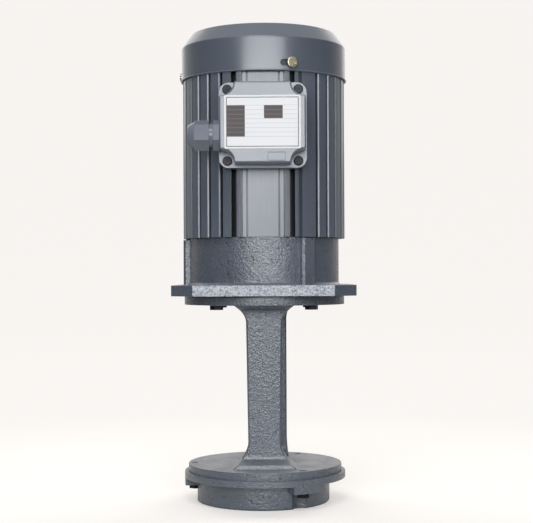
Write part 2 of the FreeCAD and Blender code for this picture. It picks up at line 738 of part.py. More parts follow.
def rotor_core():
    core = tube(CORE_BORE_R - RUNNING_GAP, ROTOR_SEAT_R + SEAT_GAP, CORE_Z, CORE_Z + CORE_H)
    bars = slot_bars(ROTOR_BARS, ROTOR_BAR_IN_R, ROTOR_BAR_OUT_R, ROTOR_BAR_W, CORE_Z - 1,
                     CORE_Z + CORE_H + 1)
    return core.cut(group(bars))


def rotor_cage():
    low = tube(END_RING_OUT_R, END_RING_IN_R, CORE_Z - END_RING_H, CORE_Z)
    high = tube(END_RING_OUT_R, END_RING_IN_R, CORE_Z + CORE_H, CORE_Z + CORE_H + END_RING_H)
    bars = slot_bars(ROTOR_BARS, ROTOR_BAR_IN_R + SEAT_GAP, ROTOR_BAR_OUT_R - SEAT_GAP,
                     ROTOR_BAR_W - 2 * SEAT_GAP, CORE_Z - 1, CORE_Z + CORE_H + 1)
    return fused([low, high] + bars)


def shaft_steps():
    """Radius and upper level of each step, from the threaded lower end up."""
    thread_end = IMPELLER_HUB_Z - IMPELLER_WASHER_T - NUT_H - THREAD_END
    seat_low = CORE_Z - ROTOR_SEAT_OVER
    seat_high = CORE_Z + CORE_H + ROTOR_SEAT_OVER
    return thread_end, [
        (NUT_R, IMPELLER_HUB_Z),
        (IMPELLER_SEAT_R, IMPELLER_TOP),
        (PUMP_SHAFT_R, LOWER_BEARING_Z),
        (BEARING_BORE_R, LOWER_BEARING_Z + BEARING_W),
        (MIDDLE_SHAFT_R, seat_low),
        (ROTOR_SEAT_R, seat_high),
        (MIDDLE_SHAFT_R, UPPER_BEARING_Z),
        (BEARING_BORE_R, UPPER_BEARING_Z + BEARING_W),
        (PUMP_SHAFT_R, FAN_Z),
        (FAN_SHAFT_R, FAN_Z + FAN_HUB_H + CIRCLIP_T + 2),
    ]


def motor_shaft():
    low, steps = shaft_steps()
    pieces = []
    for radius, high in steps:
        pieces.append(rod(radius, low, high))
        low = high
    shaft = fused(pieces)
    clip_z = FAN_Z + FAN_HUB_H
    groove = tube(FAN_SHAFT_R + 1, FAN_SHAFT_R - CIRCLIP_T, clip_z, clip_z + CIRCLIP_T)
    return shaft.cut(group([groove, impeller_key_slot(), fan_key_slot()]))


def key_bar(seat_r, height, width, low, high):
    """A parallel key on the -Y side of the shaft, sunk into it by its own height."""
    return block(-width / 2, width / 2, -seat_r - height, -seat_r + height, low, high)


def impeller_key_slot():
    return key_bar(IMPELLER_SEAT_R, KEY_H, KEY_W, IMPELLER_HUB_Z + 1, IMPELLER_TOP - 1)


def fan_key_slot():
    return key_bar(FAN_SHAFT_R, FAN_KEY_H, FAN_KEY_W, FAN_Z + 1, FAN_Z + FAN_HUB_H - 1)


def shaft_circlip():
    low = FAN_Z + FAN_HUB_H
    ring = tube(FAN_SHAFT_R + CIRCLIP_W, FAN_SHAFT_R - CIRCLIP_T + SEAT_GAP, low, low + CIRCLIP_T)
    return ring.cut(block(-CIRCLIP_W, CIRCLIP_W, 0, FAN_SHAFT_R * 2, low - 1, low + CIRCLIP_T + 1))


# Fan and its cover

def cooling_fan():
    disc = rod(FAN_R, FAN_Z, FAN_Z + FAN_DISC_T)
    hub = rod(FAN_HUB_R, FAN_Z, FAN_Z + FAN_HUB_H)
    blade = block(-FAN_BLADE_T / 2, FAN_BLADE_T / 2, -FAN_R, -FAN_BLADE_IN_R, FAN_Z, FAN_Z + FAN_H)
    blades = [turned(blade, 360 / FAN_BLADES * step) for step in range(FAN_BLADES)]
    fan = fused([disc, hub] + blades).common(rod(FAN_R, FAN_Z, FAN_Z + FAN_H))
    bore = rod(FAN_SHAFT_R + SEAT_GAP, FAN_Z - 1, FAN_Z + FAN_H)
    keyway = key_bar(FAN_SHAFT_R, FAN_KEY_H + SEAT_GAP, FAN_KEY_W + 2 * SEAT_GAP, FAN_Z - 1, FAN_Z + FAN_H)
    return fan.cut(group([bore, keyway]))


def cover_form(inset):
    """The cover's turned form, drawn in by a sheet thickness for its inside."""
    slope = math.hypot(COVER_SHOULDER_IN, COVER_SHOULDER_H)
    normal_x = COVER_SHOULDER_H / slope
    normal_z = COVER_SHOULDER_IN / slope
    knee_z = COVER_Z + COVER_WALL_H
    reach = COVER_R * normal_x + knee_z * normal_z - inset
    wall_x = COVER_R - inset
    top_z = COVER_TOP - inset
    wall_top = (reach - wall_x * normal_x) / normal_z
    crown_x = (reach - top_z * normal_z) / normal_x
    low = COVER_Z - (1 if inset else 0)
    outline = [V(0, 0, low), V(wall_x, 0, low), V(wall_x, 0, wall_top), V(crown_x, 0, top_z), V(0, 0, top_z)]
    face = Part.Face(Part.makePolygon(outline + outline[:1]))
    form = face.revolve(CENTRE, UP, 360)
    bends = []
    for edge in form.Edges:
        round_edge = abs(edge.BoundBox.ZMax - edge.BoundBox.ZMin) < 1e-6 and edge.BoundBox.ZMin > low + 1
        if round_edge and edge.BoundBox.XMax > crown_x - 1:
            bends.append(edge)
    return form.makeFillet(COVER_BEND_R - inset, bends)


def grille_slots():
    rings = []
    for step in range(GRILLE_RINGS):
        radius = GRILLE_FIRST_R + step * GRILLE_STEP
        rings.append(tube(radius + GRILLE_SLOT_W / 2, radius - GRILLE_SLOT_W / 2, COVER_TOP - GRILLE_DEPTH,
                          COVER_TOP + 1))
    spokes = []
    for step in range(GRILLE_SPOKES):
        spoke = block(-GRILLE_SPOKE_W / 2, GRILLE_SPOKE_W / 2, -COVER_R, 0, COVER_TOP - GRILLE_DEPTH - 1,
                      COVER_TOP + 2)
        spokes.append(turned(spoke, 360 / GRILLE_SPOKES * step))
    return group(rings).cut(group(spokes))


def cover_screw_slot(angle):
    """The slot that the cover is slipped over its screw by."""
    half = COVER_SCREW_R + BOLT_CLEARANCE
    inner = COVER_R - 3
    tool = block(-COVER_SLOT_REACH, 0, -COVER_R - 1, -inner, COVER_SCREW_Z - half, COVER_SCREW_Z + half)
    ends = []
    for x in (-COVER_SLOT_REACH, 0):
        ends.append(Part.makeCylinder(half, 4, V(x, -inner, COVER_SCREW_Z), V(0, -1, 0)))
    return turned(fused([tool] + ends), angle)


def fan_cover():
    shell = cover_form(0).cut(cover_form(COVER_SHEET))
    slots = [cover_screw_slot(angle) for angle in thirds(COVER_SCREW_ANGLE)]
    return shell.cut(group(slots + [grille_slots()]))


def fan_cover_screws():
    screws = []
    for angle in thirds(COVER_SCREW_ANGLE):
        screw = pan_screw(COVER_SCREW_HEAD_R, COVER_SCREW_HEAD_H, COVER_SCREW_R, COVER_SCREW_L)
        screw.rotate(CENTRE, V(1, 0, 0), 90)
        screw.rotate(CENTRE, V(0, 1, 0), COVER_SCREW_TURN)
        screw.translate(V(0, -COVER_R - SEAT_GAP, COVER_SCREW_Z))
        screws.append(turned(screw, angle))
    return group(screws)


# Tie bolts

def tie_bolts():
    low = BRACKET_H - LUG_TOP_DROP - TIE_THREAD_L
    seat = SHIELD_TOP + TIE_WASHER_T
    bolts = []
    for angle in thirds(TIE_ANGLE):
        place = spot(TIE_R, angle)
        shank = rod_at(TIE_BOLT_R, low, seat + 1, place)
        head = hexagon(TIE_HEAD_AF, seat, seat + TIE_HEAD_H, place, angle)
        bolts.append(fused([shank, head]))
    return group(bolts)


def tie_washers():
    washers = []
    for angle in thirds(TIE_ANGLE):
        place = spot(TIE_R, angle)
        ring = rod_at(TIE_WASHER_R, SHIELD_TOP, SHIELD_TOP + TIE_WASHER_T, place)
        washers.append(ring.cut(rod_at(TIE_BOLT_R + SEAT_GAP, SHIELD_TOP - 1, SHIELD_TOP + 3, place)))
    return group(washers)


# Terminal box, modelled lying on the XY plane with +Z towards its front

def corner_points():
    return [V(x, z, 0) for x in (-BOX_SCREW_X, BOX_SCREW_X) for z in (-BOX_SCREW_Z, BOX_SCREW_Z)]


def terminal_box_base():
    body = plate(BOX_W, BOX_H, BOX_CORNER_R, PAD_Y, BOX_JOINT_Y)
    body = body.makeFillet(BOX_EDGE_R, [edge for edge in body.Edges if edge.BoundBox.ZMax < PAD_Y + 0.01])
    tray = plate(BOX_COVER_W - 2 * BOX_WALL, BOX_COVER_H - 2 * BOX_WALL, BOX_OPENING_R, BOX_FLOOR_Y,
                 BOX_JOINT_Y + 1)
    posts = []
    for place in corner_points():
        posts.append(rod_at(BOX_POST_R, BOX_FLOOR_Y - 1, BOX_JOINT_Y + 2, place))
    base = body.cut(tray.cut(group(posts)))
    cuts = [Part.makeCylinder(LEAD_HOLE_R, BOX_JOINT_Y, CENTRE)]
    for place in corner_points():
        cuts.append(rod_at(BOX_SCREW_R + SEAT_GAP, BOX_JOINT_Y + GASKET_T + BOX_EAR_T - BOX_SCREW_L - 1,
                           BOX_JOINT_Y + 1, place))
    for place in base_screw_points() + [V(EARTH_X, EARTH_Z, 0)]:
        cuts.append(rod_at(BOX_SCREW_R + SEAT_GAP, PAD_Y - 1, BOX_JOINT_Y, place))
    base = facing_front(base.cut(group(cuts)))
    saddle = rod(FIN_R + BOX_SADDLE_GAP, BRACKET_H, HOUSING_TOP)
    foot = block(-BOX_FOOT_HALF, BOX_FOOT_HALF, -BOX_JOINT_Y, -PAD_Y, BRACKET_H, HOUSING_TOP)
    return base.cut(saddle.cut(foot))


def base_screw_points():
    return [V(side * BASE_SCREW_SIDE, BASE_SCREW_RISE, 0) for side in (-1, 1)]


def terminal_box_gasket():
    sheet = plate(BOX_W, BOX_H, BOX_CORNER_R, BOX_JOINT_Y, BOX_COVER_BACK_Y)
    opening = plate(BOX_COVER_W - 2 * BOX_WALL, BOX_COVER_H - 2 * BOX_WALL, BOX_OPENING_R, 0, BOX_FACE_Y)
    posts = [rod_at(BOX_POST_R, 0, BOX_FACE_Y, place) for place in corner_points()]
    holes = [rod_at(BOX_SCREW_R + SEAT_GAP, 0, BOX_FACE_Y, place) for place in corner_points()]
    return facing_front(sheet.cut(opening.cut(group(posts))).cut(group(holes)))


def cap_form(inset, low, high):
    """The cap's block with a quarter-round well at each corner, drawn in by a wall thickness."""
    width = BOX_COVER_W - 2 * inset
    height = BOX_COVER_H - 2 * inset
    form = block(-width / 2, width / 2, -height / 2, height / 2, low, high)
    wells = []
    for place in corner_points():
        shift = V(math.copysign(BOX_WELL_SHIFT_X, place.x), math.copysign(BOX_WELL_SHIFT_Z, place.y), 0)
        wells.append(rod_at(BOX_WELL_R + inset, low - 1, high + 1, place + shift))
    form = form.cut(group(wells))
    corners = []
    for edge in form.Edges:
        middle = edge.CenterOfMass
        upright = edge.BoundBox.ZLength > high - low - 0.01
        at_side = abs(abs(middle.x) - width / 2) < 0.01 or abs(abs(middle.y) - height / 2) < 0.01
        if upright and at_side:
            corners.append(edge)
    return form.makeFillet(BOX_WELL_EDGE_R, corners)


def terminal_box_cover():
    low = BOX_COVER_BACK_Y
    cap = cap_form(0, low, BOX_FACE_Y)
    rim = [edge for edge in cap.Edges if edge.BoundBox.ZMin > BOX_FACE_Y - 0.01]
    cap = cap.makeFillet(BOX_EDGE_R, rim)
    ears = plate(BOX_W, BOX_H, BOX_CORNER_R, low, low + BOX_EAR_T)
    body = cap.fuse(ears).removeSplitter()
    cuts = [cap_form(BOX_WALL, low - 1, BOX_FACE_Y - BOX_WALL)]
    for place in corner_points():
        cuts.append(rod_at(BOX_SCREW_R + BOLT_CLEARANCE, low - 1, low + BOX_EAR_T + 1, place))
    outside = V(-BOX_WALL_X - 1, -GLAND_DROP, GLAND_Y)
    cuts.append(Part.makeCylinder(GLAND_THREAD_R + SEAT_GAP, BOX_WALL * 3, outside, V(1, 0, 0)))
    return facing_front(body.cut(group(cuts)))


def terminal_cover_screws():
    screws = []
    seat = BOX_COVER_BACK_Y + BOX_EAR_T
    for place in corner_points():
        screw = pan_screw(BOX_SCREW_HEAD_R, BOX_SCREW_HEAD_H, BOX_SCREW_R, BOX_SCREW_L)
        screw.translate(V(place.x, place.y, seat))
        screws.append(facing_front(screw))
    return group(screws)


def terminal_base_screws():
    screws = []
    length = BOX_FLOOR_Y - PAD_Y + BASE_SCREW_L - 1
    for place in base_screw_points():
        screw = pan_screw(BOX_SCREW_HEAD_R, BOX_SCREW_HEAD_H, BOX_SCREW_R, length)
        screw.translate(V(place.x, place.y, BOX_FLOOR_Y))
        screws.append(facing_front(screw))
    return group(screws)


def stud_points():
    places = []
    for column in (-1, 0, 1):
        for row in (-0.5, 0.5):
            places.append(V(column * STUD_PITCH, row * STUD_ROW - BLOCK_DROP, 0))
    return places


def terminal_block():
    low = -BLOCK_DROP - BLOCK_H / 2
    high = -BLOCK_DROP + BLOCK_H / 2
    seat = BOX_FLOOR_Y + BLOCK_T
    body = block(-BLOCK_W / 2, BLOCK_W / 2, low, high, BOX_FLOOR_Y, seat)
    barriers = []
    for x in (-0.5, 0.5):
        side = x * STUD_PITCH - BARRIER_T / 2
        barriers.append(block(side, side + BARRIER_T, low, high, seat - 1, seat + LINK_T * 2))
    return facing_front(fused([body] + barriers).cut(lead_clearance()))


def lead_clearance():
    return rod(LEAD_HOLE_R + 1, 0, BOX_FACE_Y)


def terminal_studs():
    studs = []
    seat = BOX_FLOOR_Y + BLOCK_T
    for place in stud_points():
        shank = rod_at(STUD_R, seat, seat + STUD_L, place)
        nut_low = seat + LINK_T
        nut = hexagon(STUD_NUT_AF, nut_low, nut_low + STUD_NUT_H, place)
        studs.append(facing_front(fused([shank, nut])))
    return group(studs)


def terminal_links():
    links = []
    seat = BOX_FLOOR_Y + BLOCK_T
    half = LINK_W / 2
    for column in (-1, 0, 1):
        places = [place for place in stud_points() if place.x == column * STUD_PITCH]
        low = min(place.y for place in places) - half
        high = max(place.y for place in places) + half
        middle = column * STUD_PITCH
        strip = block(middle - half, middle + half, low, high, seat, seat + LINK_T)
        holes = [rod_at(STUD_R + SEAT_GAP, seat - 1, seat + 2, place) for place in places]
        links.append(facing_front(strip.cut(group(holes))))
    return group(links)


def earth_screw():
    place = V(EARTH_X, EARTH_Z, 0)
    head = hexagon(EARTH_HEAD_AF, BOX_FLOOR_Y, BOX_FLOOR_Y + EARTH_HEAD_H, place)
    shank = rod_at(BOX_SCREW_R, BOX_FLOOR_Y - EARTH_SCREW_L, BOX_FLOOR_Y + 1, place)
    return facing_front(fused([shank, head]))


def data_plate():
    return facing_front(plate(PLATE_W, PLATE_H, PLATE_CORNER_R, BOX_FACE_Y, BOX_FACE_Y + PLATE_T))


# Cable gland, modelled upright on the Z axis with +Z pointing away from the box

def on_gland(shape):
    """Lays a shape on the gland's axis, with z = 0 at the box's wall."""
    placed = shape.copy()
    placed.rotate(CENTRE, V(0, 1, 0), -90)
    placed.translate(V(-BOX_WALL_X, -GLAND_Y, GLAND_Z))
    return placed


def gland_body():
    base = hexagon(GLAND_AF, 0, GLAND_BASE_L, CENTRE, GLAND_TURN)
    neck = rod(GLAND_NECK_R, 0, GLAND_BASE_L + GLAND_NECK_L)
    spigot = rod(GLAND_THREAD_R - GLAND_THREAD_STEP, 0, GLAND_BASE_L + GLAND_NECK_L + GLAND_SPIGOT_L)
    thread = rod(GLAND_THREAD_R, -GLAND_THREAD_L, 1)
    bore = rod(GLAND_BORE_R, -GLAND_THREAD_L - 1, GLAND_BASE_L + GLAND_NECK_L + GLAND_NUT_L)
    return on_gland(fused([base, neck, spigot, thread]).cut(bore))


def gland_dome_nut():
    low = GLAND_BASE_L + GLAND_NECK_L
    high = low + GLAND_NUT_L
    nut = hexagon(GLAND_AF, low, high, CENTRE, GLAND_TURN)
    dome = Part.makeCone(GLAND_AF / 2, GLAND_DOME_R, GLAND_DOME_L, V(0, 0, high))
    rim = [edge for edge in dome.Edges if abs(edge.BoundBox.ZMin - high - GLAND_DOME_L) < 1e-6]
    dome = dome.makeFillet(GLAND_DOME_ROUND, rim[:1])
    socket = rod(GLAND_THREAD_R - GLAND_THREAD_STEP + SEAT_GAP, low - 1, low + GLAND_SOCKET_L)
    mouth = rod(GLAND_BORE_R, low, high + GLAND_DOME_L + 1)
    return on_gland(fused([nut, dome]).cut(group([socket, mouth])))


def gland_seal():
    low = GLAND_BASE_L + GLAND_NECK_L + GLAND_SPIGOT_L
    high = GLAND_BASE_L + GLAND_NECK_L + GLAND_SOCKET_L
    ring = rod(GLAND_THREAD_R - GLAND_THREAD_STEP - SEAT_GAP, low, high)
    return on_gland(ring.cut(rod(GLAND_SEAL_BORE_R, low - 1, high + 1)))


# Column

def leg_section(width, depth, z, middle, bulge):
    return rounded_outline(width, depth, LEG_CORNER_R, z, middle.x, middle.y, bulge)


def swell(share, reach, skirt=0.0):
    """The extra left at a share of a flare's height: all of it in the skirt, none beyond the reach."""
    risen = max(0.0, share - skirt)
    return max(0.0, 1 - risen / (reach - skirt)) ** 2


def flare(width, depth, root_w, extra_t, plate_z, height, middle, bulge):
    """A leg's end that spreads sideways towards its plate, and thickens in its last stretch."""
    rooted = plate_z - math.copysign(FLARE_ROOT, height)
    sections = [leg_section(root_w, depth + 2 * extra_t, rooted, middle, bulge)]
    for step in range(FLARE_STEPS + 1):
        share = step / FLARE_STEPS
        wide = width + (root_w - width) * swell(share, 1.0)
        thick = depth + 2 * extra_t * swell(share, FLARE_FACE_SHARE, SKIRT_SHARE)
        sections.append(leg_section(wide, thick, plate_z + height * share, middle, bulge))
    return Part.makeLoft(sections, True, True)


def leg(top_w, low_w, depth, middle, bulge, top_root, foot_root):
    """One leg of the column, whose flares have a width and an extra thickness at each plate."""
    low = leg_section(low_w, depth, DISC_TOP + FOOT_FLARE_H, middle, bulge)
    high = leg_section(top_w, depth, TOP_PLATE_Z - TOP_FLARE_H, middle, bulge)
    straight = Part.makeLoft([low, high], True, True)
    top = flare(top_w, depth, top_root[0], top_root[1], TOP_PLATE_Z, -TOP_FLARE_H, middle, bulge)
    foot = flare(low_w, depth, foot_root[0], foot_root[1], DISC_TOP, FOOT_FLARE_H, middle, bulge)
    in_top_plate = rod(TOP_PLATE_R, TOP_PLATE_Z - TOP_FLARE_H, TOP_PLATE_Z + FLARE_ROOT)
    in_disc = rod(DISC_R, DISC_TOP - FLARE_ROOT, DISC_TOP + FOOT_FLARE_H)
    return [straight, top.common(in_top_plate), foot.common(in_disc)]


def pump_column():
    top = rod(TOP_PLATE_R, TOP_PLATE_Z, -COLUMN_GASKET_T)
    disc = rod(DISC_R, JOINT_Z, DISC_TOP)
    hub = rod(BUSH_HUB_R, JOINT_Z, DISC_TOP + BUSH_HUB_H)
    pieces = [top, disc, hub]
    pieces += leg(FRONT_LEG_TOP_W, FRONT_LEG_LOW_W, FRONT_LEG_T, V(0, -LEG_CENTRE_Y, 0), FRONT_RIDGE,
                  (TOP_FLARE_W, TOP_FLARE_T), (FOOT_FLARE_W, FOOT_FLARE_T))
    pieces += leg(BACK_LEG_W, BACK_LEG_W, BACK_LEG_T, V(DUCT_X, DUCT_Y, 0), 0,
                  (BACK_TOP_FLARE_W, BACK_FLARE_T), (BACK_FOOT_FLARE_W, BACK_FLARE_T))
    body = fused(pieces)
    cuts = [rod(DUCT_R, JOINT_Z - 1, 1, DUCT_X, DUCT_Y)]
    cuts.append(rod(MIDDLE_SHAFT_R, TOP_PLATE_Z - 1, 1))
    cuts.append(rod(BUSH_R + SEAT_GAP, JOINT_Z - 1, DISC_TOP + BUSH_HUB_H + 1))
    cuts.append(rod(SLINGER_R + 1, TOP_PLATE_Z - TOP_FLARE_H, TOP_PLATE_Z))
    for place in column_bolt_points():
        cuts.append(rod_at(COLUMN_BOLT_R + BOLT_CLEARANCE, TOP_PLATE_Z - 1, 1, place))
    for place in casing_bolt_points():
        cuts.append(rod_at(CASING_BOLT_R + SEAT_GAP, JOINT_Z - 1, DISC_TOP + 1, place))
    return body.cut(group(cuts))


def column_gasket():
    sheet = rod(TOP_PLATE_R - 1, -COLUMN_GASKET_T, 0)
    cuts = [rod(SEAL_R + 2, -2, 1), rod(DUCT_R, -2, 1, DUCT_X, DUCT_Y)]
    for place in column_bolt_points():
        cuts.append(rod_at(COLUMN_BOLT_R + BOLT_CLEARANCE, -2, 1, place))
    return sheet.cut(group(cuts))


def column_bolts():
    bolts = []
    for place in column_bolt_points():
        shank = rod_at(COLUMN_BOLT_R, TOP_PLATE_Z, TOP_PLATE_Z + COLUMN_BOLT_L, place)
        head = hexagon(COLUMN_BOLT_AF, TOP_PLATE_Z - COLUMN_BOLT_HEAD_H, TOP_PLATE_Z, place, BOLT_TURN)
        bolts.append(fused([shank, head]))
    return group(bolts)


def throttle_bush():
    return tube(BUSH_R, PUMP_SHAFT_R + RUNNING_GAP, JOINT_Z, DISC_TOP + BUSH_HUB_H)


def shaft_slinger():
    low = SLINGER_Z - SLINGER_H
    disc = tube(SLINGER_R, PUMP_SHAFT_R + SEAT_GAP, low + SLINGER_H / 3, low + SLINGER_H * 2 / 3)
    sleeve = tube(PUMP_SHAFT_R + 2, PUMP_SHAFT_R + SEAT_GAP, low, low + SLINGER_H)
    return fused([disc, sleeve])


# Volute casing

def casing_bolt_points():
    return [spot(CASING_BOLT_PITCH_R, angle) for angle in thirds(CASING_BOLT_ANGLE)]


def volute_outline(start_r, growth, throat_x, z):
    """Four quarter arcs that grow from the tongue at the back right, clockwise from above, to the throat."""
    centre_x = growth / 2
    centre_y = -growth / 2
    radius = start_r
    directions = [(0, 1), (1, 0), (0, -1), (-1, 0), (0, 1)]
    moves = [(-1, 0), (0, 1), (1, 0), (0, 0)]
    edges = []
    rise = math.sqrt(radius ** 2 - (throat_x - centre_x) ** 2)
    tongue = V(throat_x, centre_y + rise, z)
    first = tongue
    for step in range(4):
        from_x, from_y = directions[step]
        to_x, to_y = directions[step + 1]
        mid_x = (from_x + to_x) * math.sqrt(0.5)
        mid_y = (from_y + to_y) * math.sqrt(0.5)
        middle = V(centre_x + radius * mid_x, centre_y + radius * mid_y, z)
        last = V(centre_x + radius * to_x, centre_y + radius * to_y, z)
        edges.append(Part.Arc(first, middle, last).toShape())
        first = last
        move_x, move_y = moves[step]
        centre_x += move_x * growth
        centre_y += move_y * growth
        if step < 3:
            radius += growth
    corner = V(throat_x, first.y, z)
    edges.append(Part.makeLine(first, corner))
    edges.append(Part.makeLine(corner, tongue))
    return Part.Wire(edges)


def volute_form(start_r, growth, throat_x, low, high):
    return Part.Face(volute_outline(start_r, growth, throat_x, low)).extrude(V(0, 0, high - low))


def casing_lug(angle):
    sector = rod(CASING_RIM_R, CASING_LUG_Z, JOINT_Z)
    reach = CASING_RIM_R + CASING_LUG_T
    near = CASING_BODY_R * CASING_LUG_ROOT
    edge = CASING_LUG_HALF
    corners = [spot(near, -edge), spot(reach, -edge), spot(reach, edge), spot(near, edge), spot(near, -edge)]
    wedge = Part.Face(Part.makePolygon(corners)).extrude(V(0, 0, CASING_LUG_T))
    wedge.translate(V(0, 0, CASING_LUG_Z))
    return turned(sector.common(wedge), angle)


def volute_casing():
    flange = rod(CASING_RIM_R, CASING_FLANGE_Z, JOINT_Z)
    rim = tube(CASING_RIM_R, CASING_RIM_R - CASING_RIM_W, JOINT_Z - 1, JOINT_Z + CASING_RIM_H)
    body_start = CASING_BODY_R - CASING_BODY_GROWTH / 2
    body = volute_form(body_start, CASING_BODY_GROWTH / 2, CASING_THROAT_X, -DEPTH, JOINT_Z)
    base_rim = [edge for edge in body.Edges if edge.BoundBox.ZMax < -DEPTH + 0.01]
    body = body.makeFillet(CASING_EDGE_R, base_rim)
    scallops = []
    for place in casing_bolt_points():
        scallops.append(rod_at(CASING_SCALLOP_R, -DEPTH - 1, CASING_LUG_Z, place))
    body = body.cut(group(scallops))
    pieces = [flange, rim, body] + [casing_lug(angle) for angle in thirds(CASING_BOLT_ANGLE)]
    whole = fused(pieces)
    chamber = volute_form(VOLUTE_R, VOLUTE_GROWTH, VOLUTE_THROAT_X, VOLUTE_FLOOR_Z, JOINT_Z + 1)
    cuts = [chamber, rod(EYE_R, -DEPTH - 1, JOINT_Z)]
    for place in casing_bolt_points():
        cuts.append(rod_at(CASING_BOLT_R + BOLT_CLEARANCE, CASING_LUG_Z - 1, JOINT_Z + 1, place))
    return whole.cut(group(cuts))


def casing_bolts():
    bolts = []
    for angle in thirds(CASING_BOLT_ANGLE):
        place = spot(CASING_BOLT_PITCH_R, angle)
        shank = rod_at(CASING_BOLT_R, CASING_LUG_Z, CASING_LUG_Z + CASING_BOLT_L, place)
        head = hexagon(CASING_BOLT_AF, CASING_LUG_Z - CASING_BOLT_HEAD_H, CASING_LUG_Z, place, angle)
        bolts.append(fused([shank, head]))
    return group(bolts)


# Impeller

def vane():
    """A backward-curved vane between two arcs, for a wheel that turns clockwise from above."""
    radii = (IMPELLER_HUB_R - 1, IMPELLER_R * VANE_MIDDLE, IMPELLER_R - SEAT_GAP)
    sides = []
    for shift in (-VANE_T / 2, VANE_T / 2):
        points = []
        for step in range(3):
            lag = VANE_SWEEP * (step / 2) ** VANE_CURVE + math.degrees(shift / radii[step])
            points.append(spot(radii[step], lag))
        sides.append(points)
    near, far = sides
    edges = [Part.Arc(*near).toShape(), Part.makeLine(near[2], far[2]), Part.Arc(*far).toShape(),
             Part.makeLine(far[0], near[0])]
    face = Part.Face(Part.Wire(edges))
    low = IMPELLER_TOP - IMPELLER_PLATE_T - IMPELLER_VANE_H
    solid = face.extrude(V(0, 0, IMPELLER_VANE_H + IMPELLER_PLATE_T / 2))
    solid.translate(V(0, 0, low))
    return solid


def impeller():
    wheel = rod(IMPELLER_R, IMPELLER_TOP - IMPELLER_PLATE_T, IMPELLER_TOP)
    hub = rod(IMPELLER_HUB_R, IMPELLER_HUB_Z, IMPELLER_TOP)
    vanes = [turned(vane(), 360 / IMPELLER_VANES * step) for step in range(IMPELLER_VANES)]
    bore = rod(IMPELLER_SEAT_R + SEAT_GAP, IMPELLER_HUB_Z - 1, IMPELLER_TOP + 1)
    keyway = key_bar(IMPELLER_SEAT_R, KEY_H + SEAT_GAP, KEY_W + 2 * SEAT_GAP, IMPELLER_HUB_Z - 1,
                     IMPELLER_TOP + 1)
    return fused([wheel, hub] + vanes).cut(group([bore, keyway]))


def impeller_washer():
    low = IMPELLER_HUB_Z - IMPELLER_WASHER_T
    return tube(IMPELLER_WASHER_R, NUT_R + SEAT_GAP, low, IMPELLER_HUB_Z)


def impeller_nut():
    high = IMPELLER_HUB_Z - IMPELLER_WASHER_T
    return hexagon(NUT_AF, high - NUT_H, high).cut(rod(NUT_R + SEAT_GAP, high - NUT_H - 1, high + 1))


def build():
    save("stator_housing", stator_housing())
    save("motor_bracket", motor_bracket())
    save("upper_end_shield", upper_end_shield())
    save("fan_cover", fan_cover())
    save("fan_cover_screws", fan_cover_screws())
    save("tie_bolts", tie_bolts())
    save("tie_bolt_washers", tie_washers())
    save("stator_core", stator_core())
    save("stator_windings", stator_windings())
    save("lower_bearing_circlip", lower_circlip())
    save("bearing_wave_washer", wave_washer())
    save("shaft_seal", shaft_seal())
    save("terminal_box_base", terminal_box_base())
    save("terminal_box_gasket", terminal_box_gasket())
    save("terminal_box_cover", terminal_box_cover())
    save("terminal_cover_screws", terminal_cover_screws())
    save("terminal_base_screws", terminal_base_screws())
    save("terminal_block", terminal_block())
    save("terminal_studs", terminal_studs())
    save("terminal_links", terminal_links())
    save("earth_screw", earth_screw())
    save("data_plate", data_plate())
    save("gland_body", gland_body())
    save("gland_seal", gland_seal())
    save("gland_dome_nut", gland_dome_nut())
    save("pump_column", pump_column())
    save("column_gasket", column_gasket())
    save("column_bolts", column_bolts())
    save("throttle_bush", throttle_bush())
    save("volute_casing", volute_casing())
    save("casing_bolts", casing_bolts())
    save("motor_shaft", motor_shaft())
    save("rotor_core", rotor_core())
    save("rotor_cage", rotor_cage())
    save("cooling_fan", cooling_fan())
    save("fan_key", fan_key_slot())
    save("fan_circlip", shaft_circlip())
    save("shaft_slinger", shaft_slinger())
    save("impeller", impeller())
    save("impeller_key", impeller_key_slot())
    save("impeller_washer", impeller_washer())
    save("impeller_nut", impeller_nut())
    for name, level in (("lower", LOWER_BEARING_Z), ("upper", UPPER_BEARING_Z)):
        save(name + "_bearing_outer_ring", outer_ring(level))
        save(name + "_bearing_inner_ring", inner_ring(level))
        save(name + "_bearing_balls", balls(level))
        save(name + "_bearing_cage", ball_cage(level))


os.makedirs("parts", exist_ok=True)
build()
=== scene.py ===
"""The look of an immersion coolant pump: paint, rough castings, finned housing, terminal box and studio."""
import json
import math

import bmesh
import bpy
from bpy.props import FloatProperty, FloatVectorProperty, IntProperty, PointerProperty
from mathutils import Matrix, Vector


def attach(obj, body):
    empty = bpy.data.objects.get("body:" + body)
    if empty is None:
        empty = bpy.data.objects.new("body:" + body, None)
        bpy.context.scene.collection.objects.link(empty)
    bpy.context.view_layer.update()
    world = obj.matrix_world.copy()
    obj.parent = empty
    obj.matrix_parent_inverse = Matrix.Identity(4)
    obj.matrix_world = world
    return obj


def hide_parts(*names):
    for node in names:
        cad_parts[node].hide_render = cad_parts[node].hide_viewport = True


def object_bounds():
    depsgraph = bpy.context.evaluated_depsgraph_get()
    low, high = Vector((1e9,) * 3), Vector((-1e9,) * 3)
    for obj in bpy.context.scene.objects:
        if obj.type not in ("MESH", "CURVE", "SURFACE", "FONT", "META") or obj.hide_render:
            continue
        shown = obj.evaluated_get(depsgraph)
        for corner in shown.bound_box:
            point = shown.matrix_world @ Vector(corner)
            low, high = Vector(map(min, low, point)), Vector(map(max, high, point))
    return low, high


bl_info = {
    "name": "Immersion Coolant Pump",
    "version": (1, 0, 0),
    "blender": (4, 5, 0),
    "location": "View3D > Sidebar > Pump",
    "description": "Dresses an immersion coolant pump and sets up its studio",
    "category": "Object",
}

